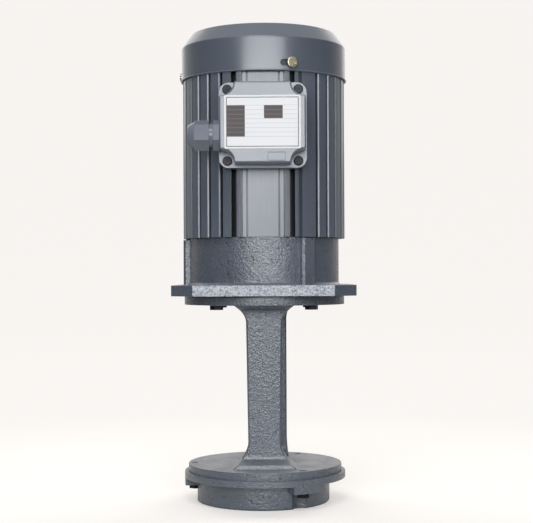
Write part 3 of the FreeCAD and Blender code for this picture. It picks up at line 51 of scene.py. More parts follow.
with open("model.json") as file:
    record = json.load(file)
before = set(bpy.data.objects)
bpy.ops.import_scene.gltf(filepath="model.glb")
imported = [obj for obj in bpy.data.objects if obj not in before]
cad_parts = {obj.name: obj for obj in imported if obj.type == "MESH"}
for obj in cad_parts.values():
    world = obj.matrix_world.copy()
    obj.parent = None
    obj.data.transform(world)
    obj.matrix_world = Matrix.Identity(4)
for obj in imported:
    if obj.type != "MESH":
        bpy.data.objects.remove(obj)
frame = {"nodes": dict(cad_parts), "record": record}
cad_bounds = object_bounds()
STATIC = "pump_body"

# The photograph, in pixels
IMAGE_WIDTH = 533
IMAGE_HEIGHT = 523

# Meshes: how near corners are merged, how flat faces join, and from which angle an edge is rounded
MERGE_DISTANCE = 0.00001
FLAT_ANGLE = 0.5
EDGE_ANGLE = 32.0

# The bead at the fan cover's lower edge
RIM_R = 0.0719
RIM_BEAD = 0.0007
RIM_STEPS = 10
RIM_TURN_STEPS = 180
RIM_SMOOTH_ANGLE = 60.0

# The raised frame on the terminal box's cap
FIELD_PLACE = (0.0111, 0.1126)
FIELD_SIZE = (0.0148, 0.0072)
FIELD_CORNER = 0.0015
FIELD_CORNER_STEPS = 5
FIELD_BAND = 0.0008
FIELD_RISE = 0.00035
FIELD_EDGE = FIELD_BAND / 4
FIELD_EDGE_STEPS = 2
FIELD_SMOOTH_ANGLE = 40.0

# The data plate's print
PLATE_CENTRE_Z = 0.140
PLATE_FRAME = (0.0290, 0.0199)
PLATE_LINE = 0.0006
PLATE_RULE_HALF = PLATE_LINE / 4
PLATE_PANELS = ((-0.02145, 0.1407, 0.0147, 0.0251), (0.0087, 0.1480, 0.0150, 0.0105))
PLATE_RULES = 7
PLATE_WHITE = (0.78, 0.78, 0.79, 1)
PLATE_INK = (0.060, 0.045, 0.042, 1)
PLATE_RULE_INK = (0.28, 0.27, 0.27, 1)

# Enamel, and the dust that lies where it faces up, which also paints the tops lighter as painted top light
ENAMEL_GLOSS = 1.0
ENAMEL_COAT_ROUGHNESS = 0.22
DUST_AND_TOP_LIGHT_COLOUR = (0.20, 0.20, 0.205, 1)
DUST_AND_TOP_LIGHT_TINT = 0.42
DUST_ROUGHNESS = 0.56
DUST_AND_TOP_LIGHT_LEAST = 0.45

# Places where the paint is rubbed or scuffed, or where it ends, and where painted shade and a painted
# highlight are laid on
FLANGE_FACE_Z = 0.0045
FLANGE_FACE_HALF = (0.0585, 0.0052)
FLANGE_EDGE_Y = 0.0765
# Lighter paint on the flange's front edge: rubbed paint and a painted highlight.
RUBBED_PAINT_AND_HIGHLIGHT = (0.42, 0.44, 0.50, 1)
SCUFFS = ((-0.0095, 0.0305, 0.0065, 0.0065), (-0.0113, 0.0210, 0.0022, 0.0070))
SCUFF_STRETCH = (1.0, 1.0, 0.35)
SCUFF_TILT = 25
SCUFF_FRONT_Y = -0.055
SLOT_SHADE_R = (0.0660, 0.0700)
PAD_FACE_Y = 0.0655
RIM_PAINT_AND_SHADE_R = (0.0690, 0.0697)
DARK_SHARE = 0.3
SLOT_SHADE_SHARE = 0.12
FIN_LIGHT_SHARE = 1.35

# Floor and backdrop
FLOOR_RISE = 1.6
FLOOR_WALL = 1.6
FLOOR_ARC_STEPS = 12
FLOOR_TURN_STEPS = 72
FLOOR_SHARE = 0.8
FLOOR_GLOW = 0.42
FLOOR_FADE_R = (0.24, 0.75)
BACKDROP_FADE_Y = (0.8, 3.4)

# Lamps and camera
LAMP_AIM = Vector((0, 0, 0.08))
KEY_PLACE = (-0.15, -1.15, 1.30)
KEY_SIZE = (1.0, 0.7)
KEY_LIGHT = (0.98, 0.99, 1.0)
FRONT_PLACE = (0.02, -1.42, 0.28)
FRONT_SIZE = (1.45, 0.52)
FRONT_LIGHT = (0.95, 0.97, 1.0)
BACK_PLACE = (0, 1.6, 0.9)
BACK_SIZE = (2.4, 1.3)
BACK_LIGHT = (1.0, 0.98, 0.95)
FILL_PLACE = (1.3, 1.4, 1.1)
FILL_SIZE = (1.5, 1.5)
WORLD_LIGHT = (0.97, 0.98, 1.0, 1)
SENSOR_WIDTH = 36.0

# The mix node's inputs for the factor and both colours, and its output for the colour
MIX_INPUTS = (0, 6, 7)
MIX_OUTPUT = 2


# Settings

class PumpPaintSettings(bpy.types.PropertyGroup):
    """Colours and grain of the painted pieces."""

    casting: FloatVectorProperty(name="Casting paint", description="Paint on the rough castings",
                                 subtype="COLOR", default=(0.096, 0.114, 0.144), min=0, max=1)
    extrusion: FloatVectorProperty(name="Housing paint", description="Paint on the finned housing",
                                   subtype="COLOR", default=(0.096, 0.114, 0.144), min=0, max=1)
    sheet: FloatVectorProperty(name="Cover paint", description="Paint on the fan cover",
                               subtype="COLOR", default=(0.094, 0.112, 0.142), min=0, max=1)
    box: FloatVectorProperty(name="Box paint", description="Paint on the terminal box",
                             subtype="COLOR", default=(0.120, 0.140, 0.172), min=0, max=1)
    plastic: FloatVectorProperty(name="Gland plastic", description="Moulded cable gland",
                                 subtype="COLOR", default=(0.160, 0.182, 0.220), min=0, max=1)
    grain: FloatProperty(name="Casting grain", description="Size of the castings' grains",
                         default=0.0014, min=0.0002, max=0.01, unit="LENGTH")


class PumpEdgeSettings(bpy.types.PropertyGroup):
    """How far edges are rounded."""

    casting: FloatProperty(name="Casting edge", description="Rounding of the castings' edges",
                           default=0.0007, min=0.0001, max=0.003, unit="LENGTH")
    sheet: FloatProperty(name="Sheet edge", description="Rounding of the fan cover's edges",
                         default=0.00025, min=0.0001, max=0.002, unit="LENGTH")
    box: FloatProperty(name="Box edge", description="Rounding of the terminal box's edges",
                       default=0.0005, min=0.0001, max=0.002, unit="LENGTH")
    fins: FloatProperty(name="Fin edge", description="Rounding of the housing's fins",
                        default=0.0004, min=0.0001, max=0.002, unit="LENGTH")
    segments: IntProperty(name="Segments", description="Steps across a rounded edge", default=2, min=1, max=4)


class PumpStageSettings(bpy.types.PropertyGroup):
    """Camera, lamps and floor."""

    distance: FloatProperty(name="Camera distance", description="From the shaft to the camera",
                            default=1.1324, min=0.5, max=5, unit="LENGTH")
    height: FloatProperty(name="Camera height", description="Above the mounting face",
                          default=0.0181, min=-1, max=2, unit="LENGTH")
    turn: FloatProperty(name="Camera turn", description="Round the shaft, from the front",
                        default=math.radians(0.5), min=-math.pi, max=math.pi, unit="ROTATION")
    roll: FloatProperty(name="Camera roll", description="About its own line of sight",
                        default=math.radians(0.25), min=-1, max=1, unit="ROTATION")
    focal: FloatProperty(name="Focal length", description="In pixels of the photograph",
                         default=1286, min=200, max=5000)
    centre_x: FloatProperty(name="Axis in the picture", description="Pixels from the left",
                            default=264.3, min=0, max=IMAGE_WIDTH)
    horizon_y: FloatProperty(name="Horizon in the picture", description="Pixels from the top",
                             default=274.3, min=0, max=IMAGE_HEIGHT)
    floor_radius: FloatProperty(name="Floor radius", description="Where the floor starts to rise",
                                default=2.2, min=1, max=10, unit="LENGTH")
    floor_colour: FloatVectorProperty(name="Floor", description="Pale floor and backdrop",
                                      subtype="COLOR", default=(0.84, 0.82, 0.79), min=0, max=1)
    backdrop_colour: FloatVectorProperty(name="Backdrop", description="What the camera sees far behind",
                                         subtype="COLOR", default=(0.93, 0.90, 0.875), min=0, max=1)
    front_glow: FloatProperty(name="Dark side", description="How bright shiny surfaces see the room in front",
                              default=0.10, min=0, max=1)
    back_glow: FloatProperty(name="Backdrop glow",
                             description="How bright shiny surfaces see the room behind",
                             default=0.8, min=0, max=1)
    ceiling_glow: FloatProperty(name="Ceiling", description="How bright shiny surfaces see the room overhead",
                                default=0.7, min=0, max=1)
    key_power: FloatProperty(name="Key lamp", description="Big soft lamp high over the camera",
                             default=10, min=0, max=500, unit="POWER")
    panel_power: FloatProperty(name="Front panel", description="Wide panel behind the camera",
                               default=14.5, min=0, max=500, unit="POWER")
    fill_power: FloatProperty(name="Fill lamps", description="Lamps behind, at both sides",
                              default=21, min=0, max=500, unit="POWER")
    back_power: FloatProperty(name="Back panel", description="Wide dim panel behind the pump",
                              default=9, min=0, max=500, unit="POWER")
    world_level: FloatProperty(name="Surroundings", description="Level of the light from all round",
                               default=0.26, min=0, max=5)


# Selection and mesh helpers

def deselect_all():
    if bpy.context.object and bpy.context.object.mode != "OBJECT":
        bpy.ops.object.mode_set(mode="OBJECT")
    bpy.ops.object.select_all(action="DESELECT")


def select_only(piece):
    deselect_all()
    piece.select_set(True)
    bpy.context.view_layer.objects.active = piece


def new_plane(name, place, turn):
    """A square plane of 1 m, which the pieces of this file start from."""
    deselect_all()
    bpy.ops.mesh.primitive_plane_add(size=1, location=place, rotation=turn)
    piece = bpy.context.object
    piece.name = name
    return piece


def finish_piece(piece, body, material, angle):
    """Shades a piece, gives it its finish and sets it on its body."""
    select_only(piece)
    bpy.ops.object.transform_apply(location=True, rotation=True, scale=True)
    bpy.ops.object.shade_smooth_by_angle(angle=math.radians(angle))
    piece.data.materials.clear()
    piece.data.materials.append(material)
    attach(piece, body)


def apply_modifiers(piece):
    select_only(piece)
    for modifier in list(piece.modifiers):
        bpy.ops.object.modifier_apply(modifier=modifier.name)


def flat_faces_first(piece):
    """Keeps large flat faces flat where they meet rounded edges."""
    normals = piece.modifiers.new("Normals", "WEIGHTED_NORMAL")
    normals.keep_sharp = True
    apply_modifiers(piece)


def body_of(node):
    for body, nodes in frame["record"]["behaviour"]["bodies"].items():
        if node in nodes:
            return body
    raise RuntimeError("no body holds " + node)


def slot_of(node):
    for part in frame["record"]["subparts"]:
        if part["node"] == node:
            return part["material_slot"]
    raise RuntimeError("no slot for " + node)


def dressed(node, name, edge, segments):
    """A copy of a CAD node with merged corners and rounded edges, which is shown in its place."""
    source = frame["nodes"][node]
    piece = bpy.data.objects.new(name, source.data.copy())
    bpy.context.scene.collection.objects.link(piece)
    select_only(piece)
    bpy.ops.object.mode_set(mode="EDIT")
    bpy.ops.mesh.select_all(action="SELECT")
    bpy.ops.mesh.customdata_custom_splitnormals_clear()
    bpy.ops.mesh.remove_doubles(threshold=MERGE_DISTANCE)
    bpy.ops.mesh.dissolve_limited(angle_limit=math.radians(FLAT_ANGLE))
    bpy.ops.object.mode_set(mode="OBJECT")
    bevel = piece.modifiers.new("Edges", "BEVEL")
    bevel.width = edge
    bevel.segments = segments
    bevel.limit_method = "ANGLE"
    bevel.angle_limit = math.radians(EDGE_ANGLE)
    bevel.use_clamp_overlap = True
    bevel.miter_outer = "MITER_ARC"
    apply_modifiers(piece)
    finish_piece(piece, body_of(node), MATERIALS[slot_of(node)](), EDGE_ANGLE)
    flat_faces_first(piece)
    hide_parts(node)


def spun(name, points, steps, closed):
    """A turned piece, spun about the shaft from its outline in the X-Z plane."""
    piece = new_plane(name, (0, 0, 0), (0, 0, 0))
    bpy.ops.object.mode_set(mode="EDIT")
    bpy.ops.mesh.select_all(action="SELECT")
    bpy.ops.mesh.delete(type="VERT")
    form = bmesh.from_edit_mesh(piece.data)
    corners = [form.verts.new(point) for point in points]
    for first, second in zip(corners, corners[1:]):
        form.edges.new((first, second))
    if closed:
        form.edges.new((corners[-1], corners[0]))
    bmesh.update_edit_mesh(piece.data)
    bpy.ops.mesh.select_all(action="SELECT")
    bpy.ops.mesh.spin(steps=steps, angle=math.tau, center=(0, 0, 0), axis=(0, 0, 1))
    bpy.ops.mesh.select_all(action="SELECT")
    bpy.ops.mesh.remove_doubles(threshold=MERGE_DISTANCE)
    bpy.ops.mesh.normals_make_consistent(inside=False)
    bpy.ops.object.mode_set(mode="OBJECT")
    return piece


def raised_outline(name, centre, width, height):
    """A thin raised frame with round corners on a face that looks to the front."""
    piece = new_plane(name, centre, (math.pi / 2, 0, 0))
    piece.scale = (width, height, 1)
    bpy.ops.object.transform_apply(location=True, rotation=True, scale=True)
    bpy.ops.object.mode_set(mode="EDIT")
    bpy.ops.mesh.select_mode(type="VERT")
    bpy.ops.mesh.select_all(action="SELECT")
    bpy.ops.mesh.bevel(offset=FIELD_CORNER, segments=FIELD_CORNER_STEPS, affect="VERTICES")
    bpy.ops.mesh.select_mode(type="FACE")
    bpy.ops.mesh.select_all(action="SELECT")
    bpy.ops.mesh.inset(thickness=FIELD_BAND)
    bpy.ops.mesh.delete(type="FACE")
    bpy.ops.mesh.select_all(action="SELECT")
    bpy.ops.mesh.extrude_region_move(TRANSFORM_OT_translate={"value": (0, -FIELD_RISE, 0)})
    bpy.ops.mesh.select_all(action="SELECT")
    bpy.ops.mesh.normals_make_consistent(inside=False)
    bpy.ops.object.mode_set(mode="OBJECT")
    bevel = piece.modifiers.new("Edges", "BEVEL")
    bevel.width = FIELD_EDGE
    bevel.segments = FIELD_EDGE_STEPS
    apply_modifiers(piece)
    return piece


# Shader helpers

def node_group(name, inputs, outputs):
    """An empty shader group with named sockets, given as name to socket type and default."""
    tree = bpy.data.node_groups.new(name, "ShaderNodeTree")
    for label, (kind, default) in inputs.items():
        socket = tree.interface.new_socket(name=label, in_out="INPUT", socket_type="NodeSocket" + kind)
        if default is not None:
            socket.default_value = default
    for label, kind in outputs.items():
        tree.interface.new_socket(name=label, in_out="OUTPUT", socket_type="NodeSocket" + kind)
    return tree, tree.nodes.new("NodeGroupInput"), tree.nodes.new("NodeGroupOutput")


def feed(tree, value, socket):
    """Links an output to a socket, or sets the socket to a number or colour."""
    if hasattr(value, "is_linked"):
        tree.links.new(value, socket)
    else:
        socket.default_value = value


def maths(tree, operation, *values, clamp=False):
    """A maths node whose inputs are outputs of other nodes or numbers."""
    node = tree.nodes.new("ShaderNodeMath")
    node.operation = operation
    node.use_clamp = clamp
    for index, value in enumerate(values):
        feed(tree, value, node.inputs[index])
    return node.outputs[0]


def mixed(tree, factor, first, second):
    """A mix of two colours."""
    node = tree.nodes.new("ShaderNodeMix")
    node.data_type = "RGBA"
    for index, value in zip(MIX_INPUTS, (factor, first, second)):
        feed(tree, value, node.inputs[index])
    return node.outputs[MIX_OUTPUT]


def ramp(tree, value, low, high):
    """Maps a value from a range to 0..1, smoothly."""
    node = tree.nodes.new("ShaderNodeMapRange")
    node.interpolation_type = "SMOOTHSTEP"
    feed(tree, value, node.inputs["Value"])
    feed(tree, low, node.inputs["From Min"])
    feed(tree, high, node.inputs["From Max"])
    return node.outputs["Result"]


def noise(tree, vector, scale, detail, rough):
    node = tree.nodes.new("ShaderNodeTexNoise")
    feed(tree, vector, node.inputs["Vector"])
    feed(tree, scale, node.inputs["Scale"])
    feed(tree, detail, node.inputs["Detail"])
    feed(tree, rough, node.inputs["Roughness"])
    return node.outputs["Fac"]


def parts_of(tree, vector):
    """The outputs X, Y and Z of a vector."""
    node = tree.nodes.new("ShaderNodeSeparateXYZ")
    tree.links.new(vector, node.inputs[0])
    return node.outputs


def placed_group(tree, group, vector, **values):
    """A placed shader group with its own values; an underscore in a value's name stands for a space."""
    node = tree.nodes.new("ShaderNodeGroup")
    node.node_tree = group
    tree.links.new(vector, node.inputs["Vector"])
    for label, value in values.items():
        feed(tree, value, node.inputs[label.replace("_", " ")])
    return node.outputs


def bump_to(tree, shader, height, distance):
    node = tree.nodes.new("ShaderNodeBump")
    node.inputs["Distance"].default_value = distance
    tree.links.new(height, node.inputs["Height"])
    tree.links.new(node.outputs[0], shader.inputs["Normal"])


def scaled(colour, share):
    """A darker or lighter shade of a colour, opaque."""
    return (colour[0] * share, colour[1] * share, colour[2] * share, 1.0)


def opaque(colour):
    return scaled(colour, 1.0)


# Shader groups

def casting_skin_group():
    """Height and pits of sand-cast iron under a thick coat of paint."""
    if "Casting skin" in bpy.data.node_groups:
        return bpy.data.node_groups["Casting skin"]
    tree, start, end = node_group(
        "Casting skin",
        {"Vector": ("Vector", None), "Grain": ("Float", 0.0013), "Lumps": ("Float", 0.5),
         "Pits": ("Float", 0.5)},
        {"Height": "Float", "Pit mask": "Float"})
    cells_per_grain = 0.55
    pits_per_grain = 0.5
    cell_height = 0.5
    pit_depth = 0.8
    vector = start.outputs["Vector"]
    density = maths(tree, "DIVIDE", 1.0, start.outputs["Grain"])
    fine = noise(tree, vector, density, detail=2.0, rough=0.6)
    cells = tree.nodes.new("ShaderNodeTexVoronoi")
    cells.feature = "SMOOTH_F1"
    tree.links.new(vector, cells.inputs["Vector"])
    tree.links.new(maths(tree, "MULTIPLY", density, cells_per_grain), cells.inputs["Scale"])
    lumps = noise(tree, vector, scale=90.0, detail=2.0, rough=0.5)
    pit_noise = noise(tree, vector, maths(tree, "MULTIPLY", density, pits_per_grain), detail=1.0, rough=0.4)
    pits = maths(tree, "MULTIPLY", ramp(tree, pit_noise, low=0.64, high=0.72), start.outputs["Pits"])
    grains = maths(tree, "MULTIPLY_ADD", cells.outputs["Distance"], cell_height, fine)
    height = maths(tree, "MULTIPLY_ADD", lumps, start.outputs["Lumps"], grains)
    height = maths(tree, "SUBTRACT", height, maths(tree, "MULTIPLY", pits, pit_depth))
    tree.links.new(height, end.inputs["Height"])
    tree.links.new(pits, end.inputs["Pit mask"])
    return tree


def drawn_grain_group():
    """Fine lines along the shaft, as an extrusion die leaves them."""
    if "Drawn grain" in bpy.data.node_groups:
        return bpy.data.node_groups["Drawn grain"]
    tree, start, end = node_group("Drawn grain", {"Vector": ("Vector", None), "Stretch": ("Float", 0.02)},
                                  {"Lines": "Float", "Height": "Float"})
    parts = parts_of(tree, start.outputs["Vector"])
    joined = tree.nodes.new("ShaderNodeCombineXYZ")
    tree.links.new(parts["X"], joined.inputs["X"])
    tree.links.new(parts["Y"], joined.inputs["Y"])
    tree.links.new(maths(tree, "MULTIPLY", parts["Z"], start.outputs["Stretch"]), joined.inputs["Z"])
    lines = noise(tree, joined.outputs[0], scale=900.0, detail=4.0, rough=0.65)
    tree.links.new(ramp(tree, lines, low=0.3, high=0.7), end.inputs["Lines"])
    tree.links.new(lines, end.inputs["Height"])
    return tree


def handled_group():
    """Colour and roughness that vary a little from place to place, as on paint that has been handled."""
    if "Handled surface" in bpy.data.node_groups:
        return bpy.data.node_groups["Handled surface"]
    tree, start, end = node_group(
        "Handled surface",
        {"Vector": ("Vector", None), "Colour": ("Color", (0.1, 0.1, 0.1, 1)), "Shade": ("Float", 0.2),
         "Roughness": ("Float", 0.4), "Spread": ("Float", 0.1)},
        {"Color": "Color", "Roughness": "Float"})
    broad_share = 0.65
    fine_share = 0.35
    vector = start.outputs["Vector"]
    broad = ramp(tree, noise(tree, vector, scale=14.0, detail=3.0, rough=0.6), low=0.3, high=0.7)
    fine = noise(tree, vector, scale=260.0, detail=3.0, rough=0.6)
    tone = maths(tree, "MULTIPLY_ADD", broad, broad_share, maths(tree, "MULTIPLY", fine, fine_share))
    off_middle = maths(tree, "SUBTRACT", tone, 0.5)
    brighter = tree.nodes.new("ShaderNodeVectorMath")
    brighter.operation = "SCALE"
    tree.links.new(start.outputs["Colour"], brighter.inputs[0])
    change = maths(tree, "MULTIPLY", off_middle, start.outputs["Shade"])
    tree.links.new(maths(tree, "ADD", change, 1.0), brighter.inputs["Scale"])
    tree.links.new(brighter.outputs[0], end.inputs["Color"])
    swing = maths(tree, "MULTIPLY", off_middle, start.outputs["Spread"])
    tree.links.new(maths(tree, "ADD", start.outputs["Roughness"], swing, clamp=True), end.inputs["Roughness"])
    return tree


def box_mask_group():
    """1 inside an upright rectangle of the X-Z plane, 0 outside it."""
    if "Box mask" in bpy.data.node_groups:
        return bpy.data.node_groups["Box mask"]
    tree, start, end = node_group(
        "Box mask",
        {"Vector": ("Vector", None), "Centre X": ("Float", 0.0), "Centre Z": ("Float", 0.0),
         "Half width": ("Float", 0.01), "Half height": ("Float", 0.01)},
        {"Mask": "Float"})
    parts = parts_of(tree, start.outputs["Vector"])
    inside = []
    for axis, centre, half in (("X", "Centre X", "Half width"), ("Z", "Centre Z", "Half height")):
        offset = maths(tree, "ABSOLUTE", maths(tree, "SUBTRACT", parts[axis], start.outputs[centre]))
        inside.append(maths(tree, "LESS_THAN", offset, start.outputs[half]))
    tree.links.new(maths(tree, "MULTIPLY", inside[0], inside[1]), end.inputs["Mask"])
    return tree


def box_mask(tree, vector, centre_x, centre_z, half_width, half_height):
    return placed_group(tree, box_mask_group(), vector, Centre_X=centre_x, Centre_Z=centre_z,
                        Half_width=half_width, Half_height=half_height)["Mask"]


def scuff_group():
    """Two dark rub marks on the front of the motor bracket."""
    if "Scuffs" in bpy.data.node_groups:
        return bpy.data.node_groups["Scuffs"]
    tree, start, end = node_group("Scuffs", {"Vector": ("Vector", None)}, {"Mask": "Float"})
    vector = start.outputs["Vector"]
    streaks = tree.nodes.new("ShaderNodeMapping")
    streaks.inputs["Scale"].default_value = SCUFF_STRETCH
    streaks.inputs["Rotation"].default_value = (0, math.radians(SCUFF_TILT), 0)
    tree.links.new(vector, streaks.inputs["Vector"])
    streak_noise = noise(tree, streaks.outputs[0], scale=420.0, detail=3.0, rough=0.6)
    broken = ramp(tree, streak_noise, low=0.46, high=0.62)
    marks = [box_mask(tree, vector, centre_x, centre_z, width / 2, height / 2)
             for centre_x, centre_z, width, height in SCUFFS]
    in_front = maths(tree, "LESS_THAN", parts_of(tree, vector)["Y"], SCUFF_FRONT_Y)
    mask = maths(tree, "MULTIPLY", maths(tree, "MAXIMUM", marks[0], marks[1]), in_front)
    tree.links.new(maths(tree, "MULTIPLY", mask, broken), end.inputs["Mask"])
    return tree


def radius_group():
    """How far a point lies from the shaft, mapped from a range to 0..1."""
    if "Radius ramp" in bpy.data.node_groups:
        return bpy.data.node_groups["Radius ramp"]
    tree, start, end = node_group(
        "Radius ramp",
        {"Vector": ("Vector", None), "Low": ("Float", 0.0), "High": ("Float", 0.1)},
        {"Share": "Float"})
    parts = parts_of(tree, start.outputs["Vector"])
    across = maths(tree, "MULTIPLY", parts["X"], parts["X"])
    square = maths(tree, "MULTIPLY_ADD", parts["Y"], parts["Y"], across)
    radius = maths(tree, "SQRT", square)
    tree.links.new(ramp(tree, radius, start.outputs["Low"], start.outputs["High"]), end.inputs["Share"])
    return tree


def dust_and_top_light_group():
    """Where a surface faces up, patchily, so that a film of dust lies on it; the same mask paints the tops
    lighter as painted top light.
    """
    if "Settled dust and top light" in bpy.data.node_groups:
        return bpy.data.node_groups["Settled dust and top light"]
    tree, start, end = node_group("Settled dust and top light", {"Vector": ("Vector", None), "Normal": ("Vector", None)},
                                  {"Mask": "Float"})
    upward = ramp(tree, parts_of(tree, start.outputs["Normal"])["Z"], low=0.55, high=0.95)
    speckle = noise(tree, start.outputs["Vector"], scale=70.0, detail=6.0, rough=0.75)
    patches = ramp(tree, speckle, low=0.35, high=0.65)
    cover = maths(tree, "MULTIPLY_ADD", patches, 1.0 - DUST_AND_TOP_LIGHT_LEAST, DUST_AND_TOP_LIGHT_LEAST)
    tree.links.new(maths(tree, "MULTIPLY", upward, cover), end.inputs["Mask"])
    return tree


# Materials

def start_material(name):
    """An empty node material with its surface shader and its object coordinates."""
    material = bpy.data.materials.new(name)
    material.use_nodes = True
    tree = material.node_tree
    coords = tree.nodes.new("ShaderNodeTexCoord")
    return material, tree, tree.nodes["Principled BSDF"], coords.outputs["Object"]


def once(name, build):
    """The named material, built the first time it is asked for."""
    if name in bpy.data.materials:
        return bpy.data.materials[name]
    return build(name)


def enamel(tree, shader, vector, coat, colour, roughness):
    """Thick glossy enamel, with a dull film of dust where it faces up, lighter than the enamel as painted top
    light.
    """
    shader.inputs["Specular IOR Level"].default_value = ENAMEL_GLOSS
    shader.inputs["Coat Roughness"].default_value = ENAMEL_COAT_ROUGHNESS
    normal = tree.nodes.new("ShaderNodeTexCoord").outputs["Normal"]
    mask = placed_group(tree, dust_and_top_light_group(), vector, Normal=normal)["Mask"]
    # The film is lighter than the enamel: dust, and painted top light on faces that look up.
    film = maths(tree, "MULTIPLY", mask, DUST_AND_TOP_LIGHT_TINT)
    tree.links.new(mixed(tree, film, colour, DUST_AND_TOP_LIGHT_COLOUR), shader.inputs["Base Color"])
    dull = maths(tree, "MULTIPLY", maths(tree, "SUBTRACT", DUST_ROUGHNESS, roughness), mask)
    tree.links.new(maths(tree, "ADD", roughness, dull), shader.inputs["Roughness"])
    tree.links.new(maths(tree, "MULTIPLY_ADD", mask, -coat, coat), shader.inputs["Coat Weight"])


def casting_paint():
    """Enamel over a rough casting, with rubbed paint and a painted highlight on the flange's front edge,
    painted shade in its pits, and scuffs on the bracket.
    """
    def build(name):
        coat = 0.15
        skin_depth = 0.00045
        pit_gain = 1.2
        wear_and_highlight_strength = 0.75
        rub_smoothing = -0.6
        paint = bpy.context.scene.pump_paint
        material, tree, shader, vector = start_material(name)
        skin = placed_group(tree, casting_skin_group(), vector, Grain=paint.grain, Lumps=0.8, Pits=0.5)
        tone = placed_group(tree, handled_group(), vector, Colour=opaque(paint.casting), Shade=0.35,
                            Roughness=0.26, Spread=0.12)
        dark = scaled(paint.casting, DARK_SHARE)
        # Painted shade: the casting's pits are darkened.
        pit_shade = maths(tree, "MULTIPLY", skin["Pit mask"], pit_gain, clamp=True)
        colour = mixed(tree, pit_shade, tone["Color"], dark)
        colour = mixed(tree, placed_group(tree, scuff_group(), vector)["Mask"], colour, dark)
        # Rubbed paint and a painted highlight: a lighter, speckled colour on the flange's front edge.
        face = box_mask(tree, vector, 0.0, FLANGE_FACE_Z, FLANGE_FACE_HALF[0], FLANGE_FACE_HALF[1])
        depth_y = maths(tree, "ABSOLUTE", parts_of(tree, vector)["Y"])
        edge = maths(tree, "MULTIPLY", face, maths(tree, "GREATER_THAN", depth_y, FLANGE_EDGE_Y))
        speckle = ramp(tree, noise(tree, vector, scale=650.0, detail=2.0, rough=0.6), low=0.36, high=0.56)
        wear_and_highlight = maths(tree, "MULTIPLY", edge, maths(tree, "MULTIPLY", speckle, wear_and_highlight_strength))
        colour = mixed(tree, wear_and_highlight, colour, RUBBED_PAINT_AND_HIGHLIGHT)
        enamel(tree, shader, vector, coat, colour, tone["Roughness"])
        calm = maths(tree, "MULTIPLY_ADD", edge, rub_smoothing, 1.0)
        bump_to(tree, shader, maths(tree, "MULTIPLY", skin["Height"], calm), skin_depth)
        return material
    return once("Paint on rough casting", build)


def smooth_paint(name, colour, roughness, coat, peel_depth):
    """Sprayed paint on sheet or a fine casting, with a slight orange peel."""
    def build(label):
        material, tree, shader, vector = start_material(label)
        tone = placed_group(tree, handled_group(), vector, Colour=opaque(colour), Shade=0.14,
                            Roughness=roughness, Spread=0.09)
        enamel(tree, shader, vector, coat, tone["Color"], tone["Roughness"])
        bump_to(tree, shader, noise(tree, vector, scale=700.0, detail=3.0, rough=0.6), peel_depth)
        return material
    return once(name, build)


def cover_paint():
    return smooth_paint("Paint on sheet", bpy.context.scene.pump_paint.sheet,
                        roughness=0.32, coat=0.3, peel_depth=0.00005)


def box_paint():
    return smooth_paint("Paint on fine casting", bpy.context.scene.pump_paint.box,
                        roughness=0.34, coat=0.55, peel_depth=0.00020)


def housing_paint():
    """Enamel over drawn lines, with painted shade at the bottom of the slots between the fins."""
    def build(name):
        coat = 0.12
        line_depth = 0.00012
        line_strength = 0.35
        paint = bpy.context.scene.pump_paint
        material, tree, shader, vector = start_material(name)
        tone = placed_group(tree, handled_group(), vector, Colour=opaque(paint.extrusion), Shade=0.18,
                            Roughness=0.32, Spread=0.10)
        grain = placed_group(tree, drawn_grain_group(), vector, Stretch=0.015)
        light = scaled(paint.extrusion, FIN_LIGHT_SHARE)
        colour = mixed(tree, maths(tree, "MULTIPLY", grain["Lines"], line_strength), tone["Color"], light)
        # Painted shade: the bottoms of the slots, nearer the shaft than the fin tips, are darkened, but not
        # the flat pad at the front.
        out_of_slot = placed_group(tree, radius_group(), vector, Low=SLOT_SHADE_R[0], High=SLOT_SHADE_R[1])
        pad = maths(tree, "LESS_THAN", parts_of(tree, vector)["Y"], -PAD_FACE_Y)
        in_light = maths(tree, "MAXIMUM", out_of_slot["Share"], pad)
        colour = mixed(tree, in_light, scaled(paint.extrusion, SLOT_SHADE_SHARE), colour)
        enamel(tree, shader, vector, coat, colour, tone["Roughness"])
        bump_to(tree, shader, grain["Height"], line_depth)
        return material
    return once("Paint on extrusion", build)


def metal(name, colour, roughness, scratches=500.0, depth=0.00002):
    """Bare metal with fine scratches and uneven polish."""
    def build(label):
        material, tree, shader, vector = start_material(label)
        shader.inputs["Metallic"].default_value = 1.0
        tone = placed_group(tree, handled_group(), vector, Colour=opaque(colour), Shade=0.2,
                            Roughness=roughness, Spread=0.2)
        tree.links.new(tone["Color"], shader.inputs["Base Color"])
        tree.links.new(tone["Roughness"], shader.inputs["Roughness"])
        bump_to(tree, shader, noise(tree, vector, scratches, detail=4.0, rough=0.6), depth)
        return material
    return once(name, build)


def moulded(name, colour, roughness, grain=900.0, depth=0.00004):
    """Moulded plastic or rubber."""
    def build(label):
        material, tree, shader, vector = start_material(label)
        tone = placed_group(tree, handled_group(), vector, Colour=opaque(colour), Shade=0.2,
                            Roughness=roughness, Spread=0.12)
        tree.links.new(tone["Color"], shader.inputs["Base Color"])
        tree.links.new(tone["Roughness"], shader.inputs["Roughness"])
        bump_to(tree, shader, noise(tree, vector, grain, detail=3.0, rough=0.6), depth)
        return material
    return once(name, build)


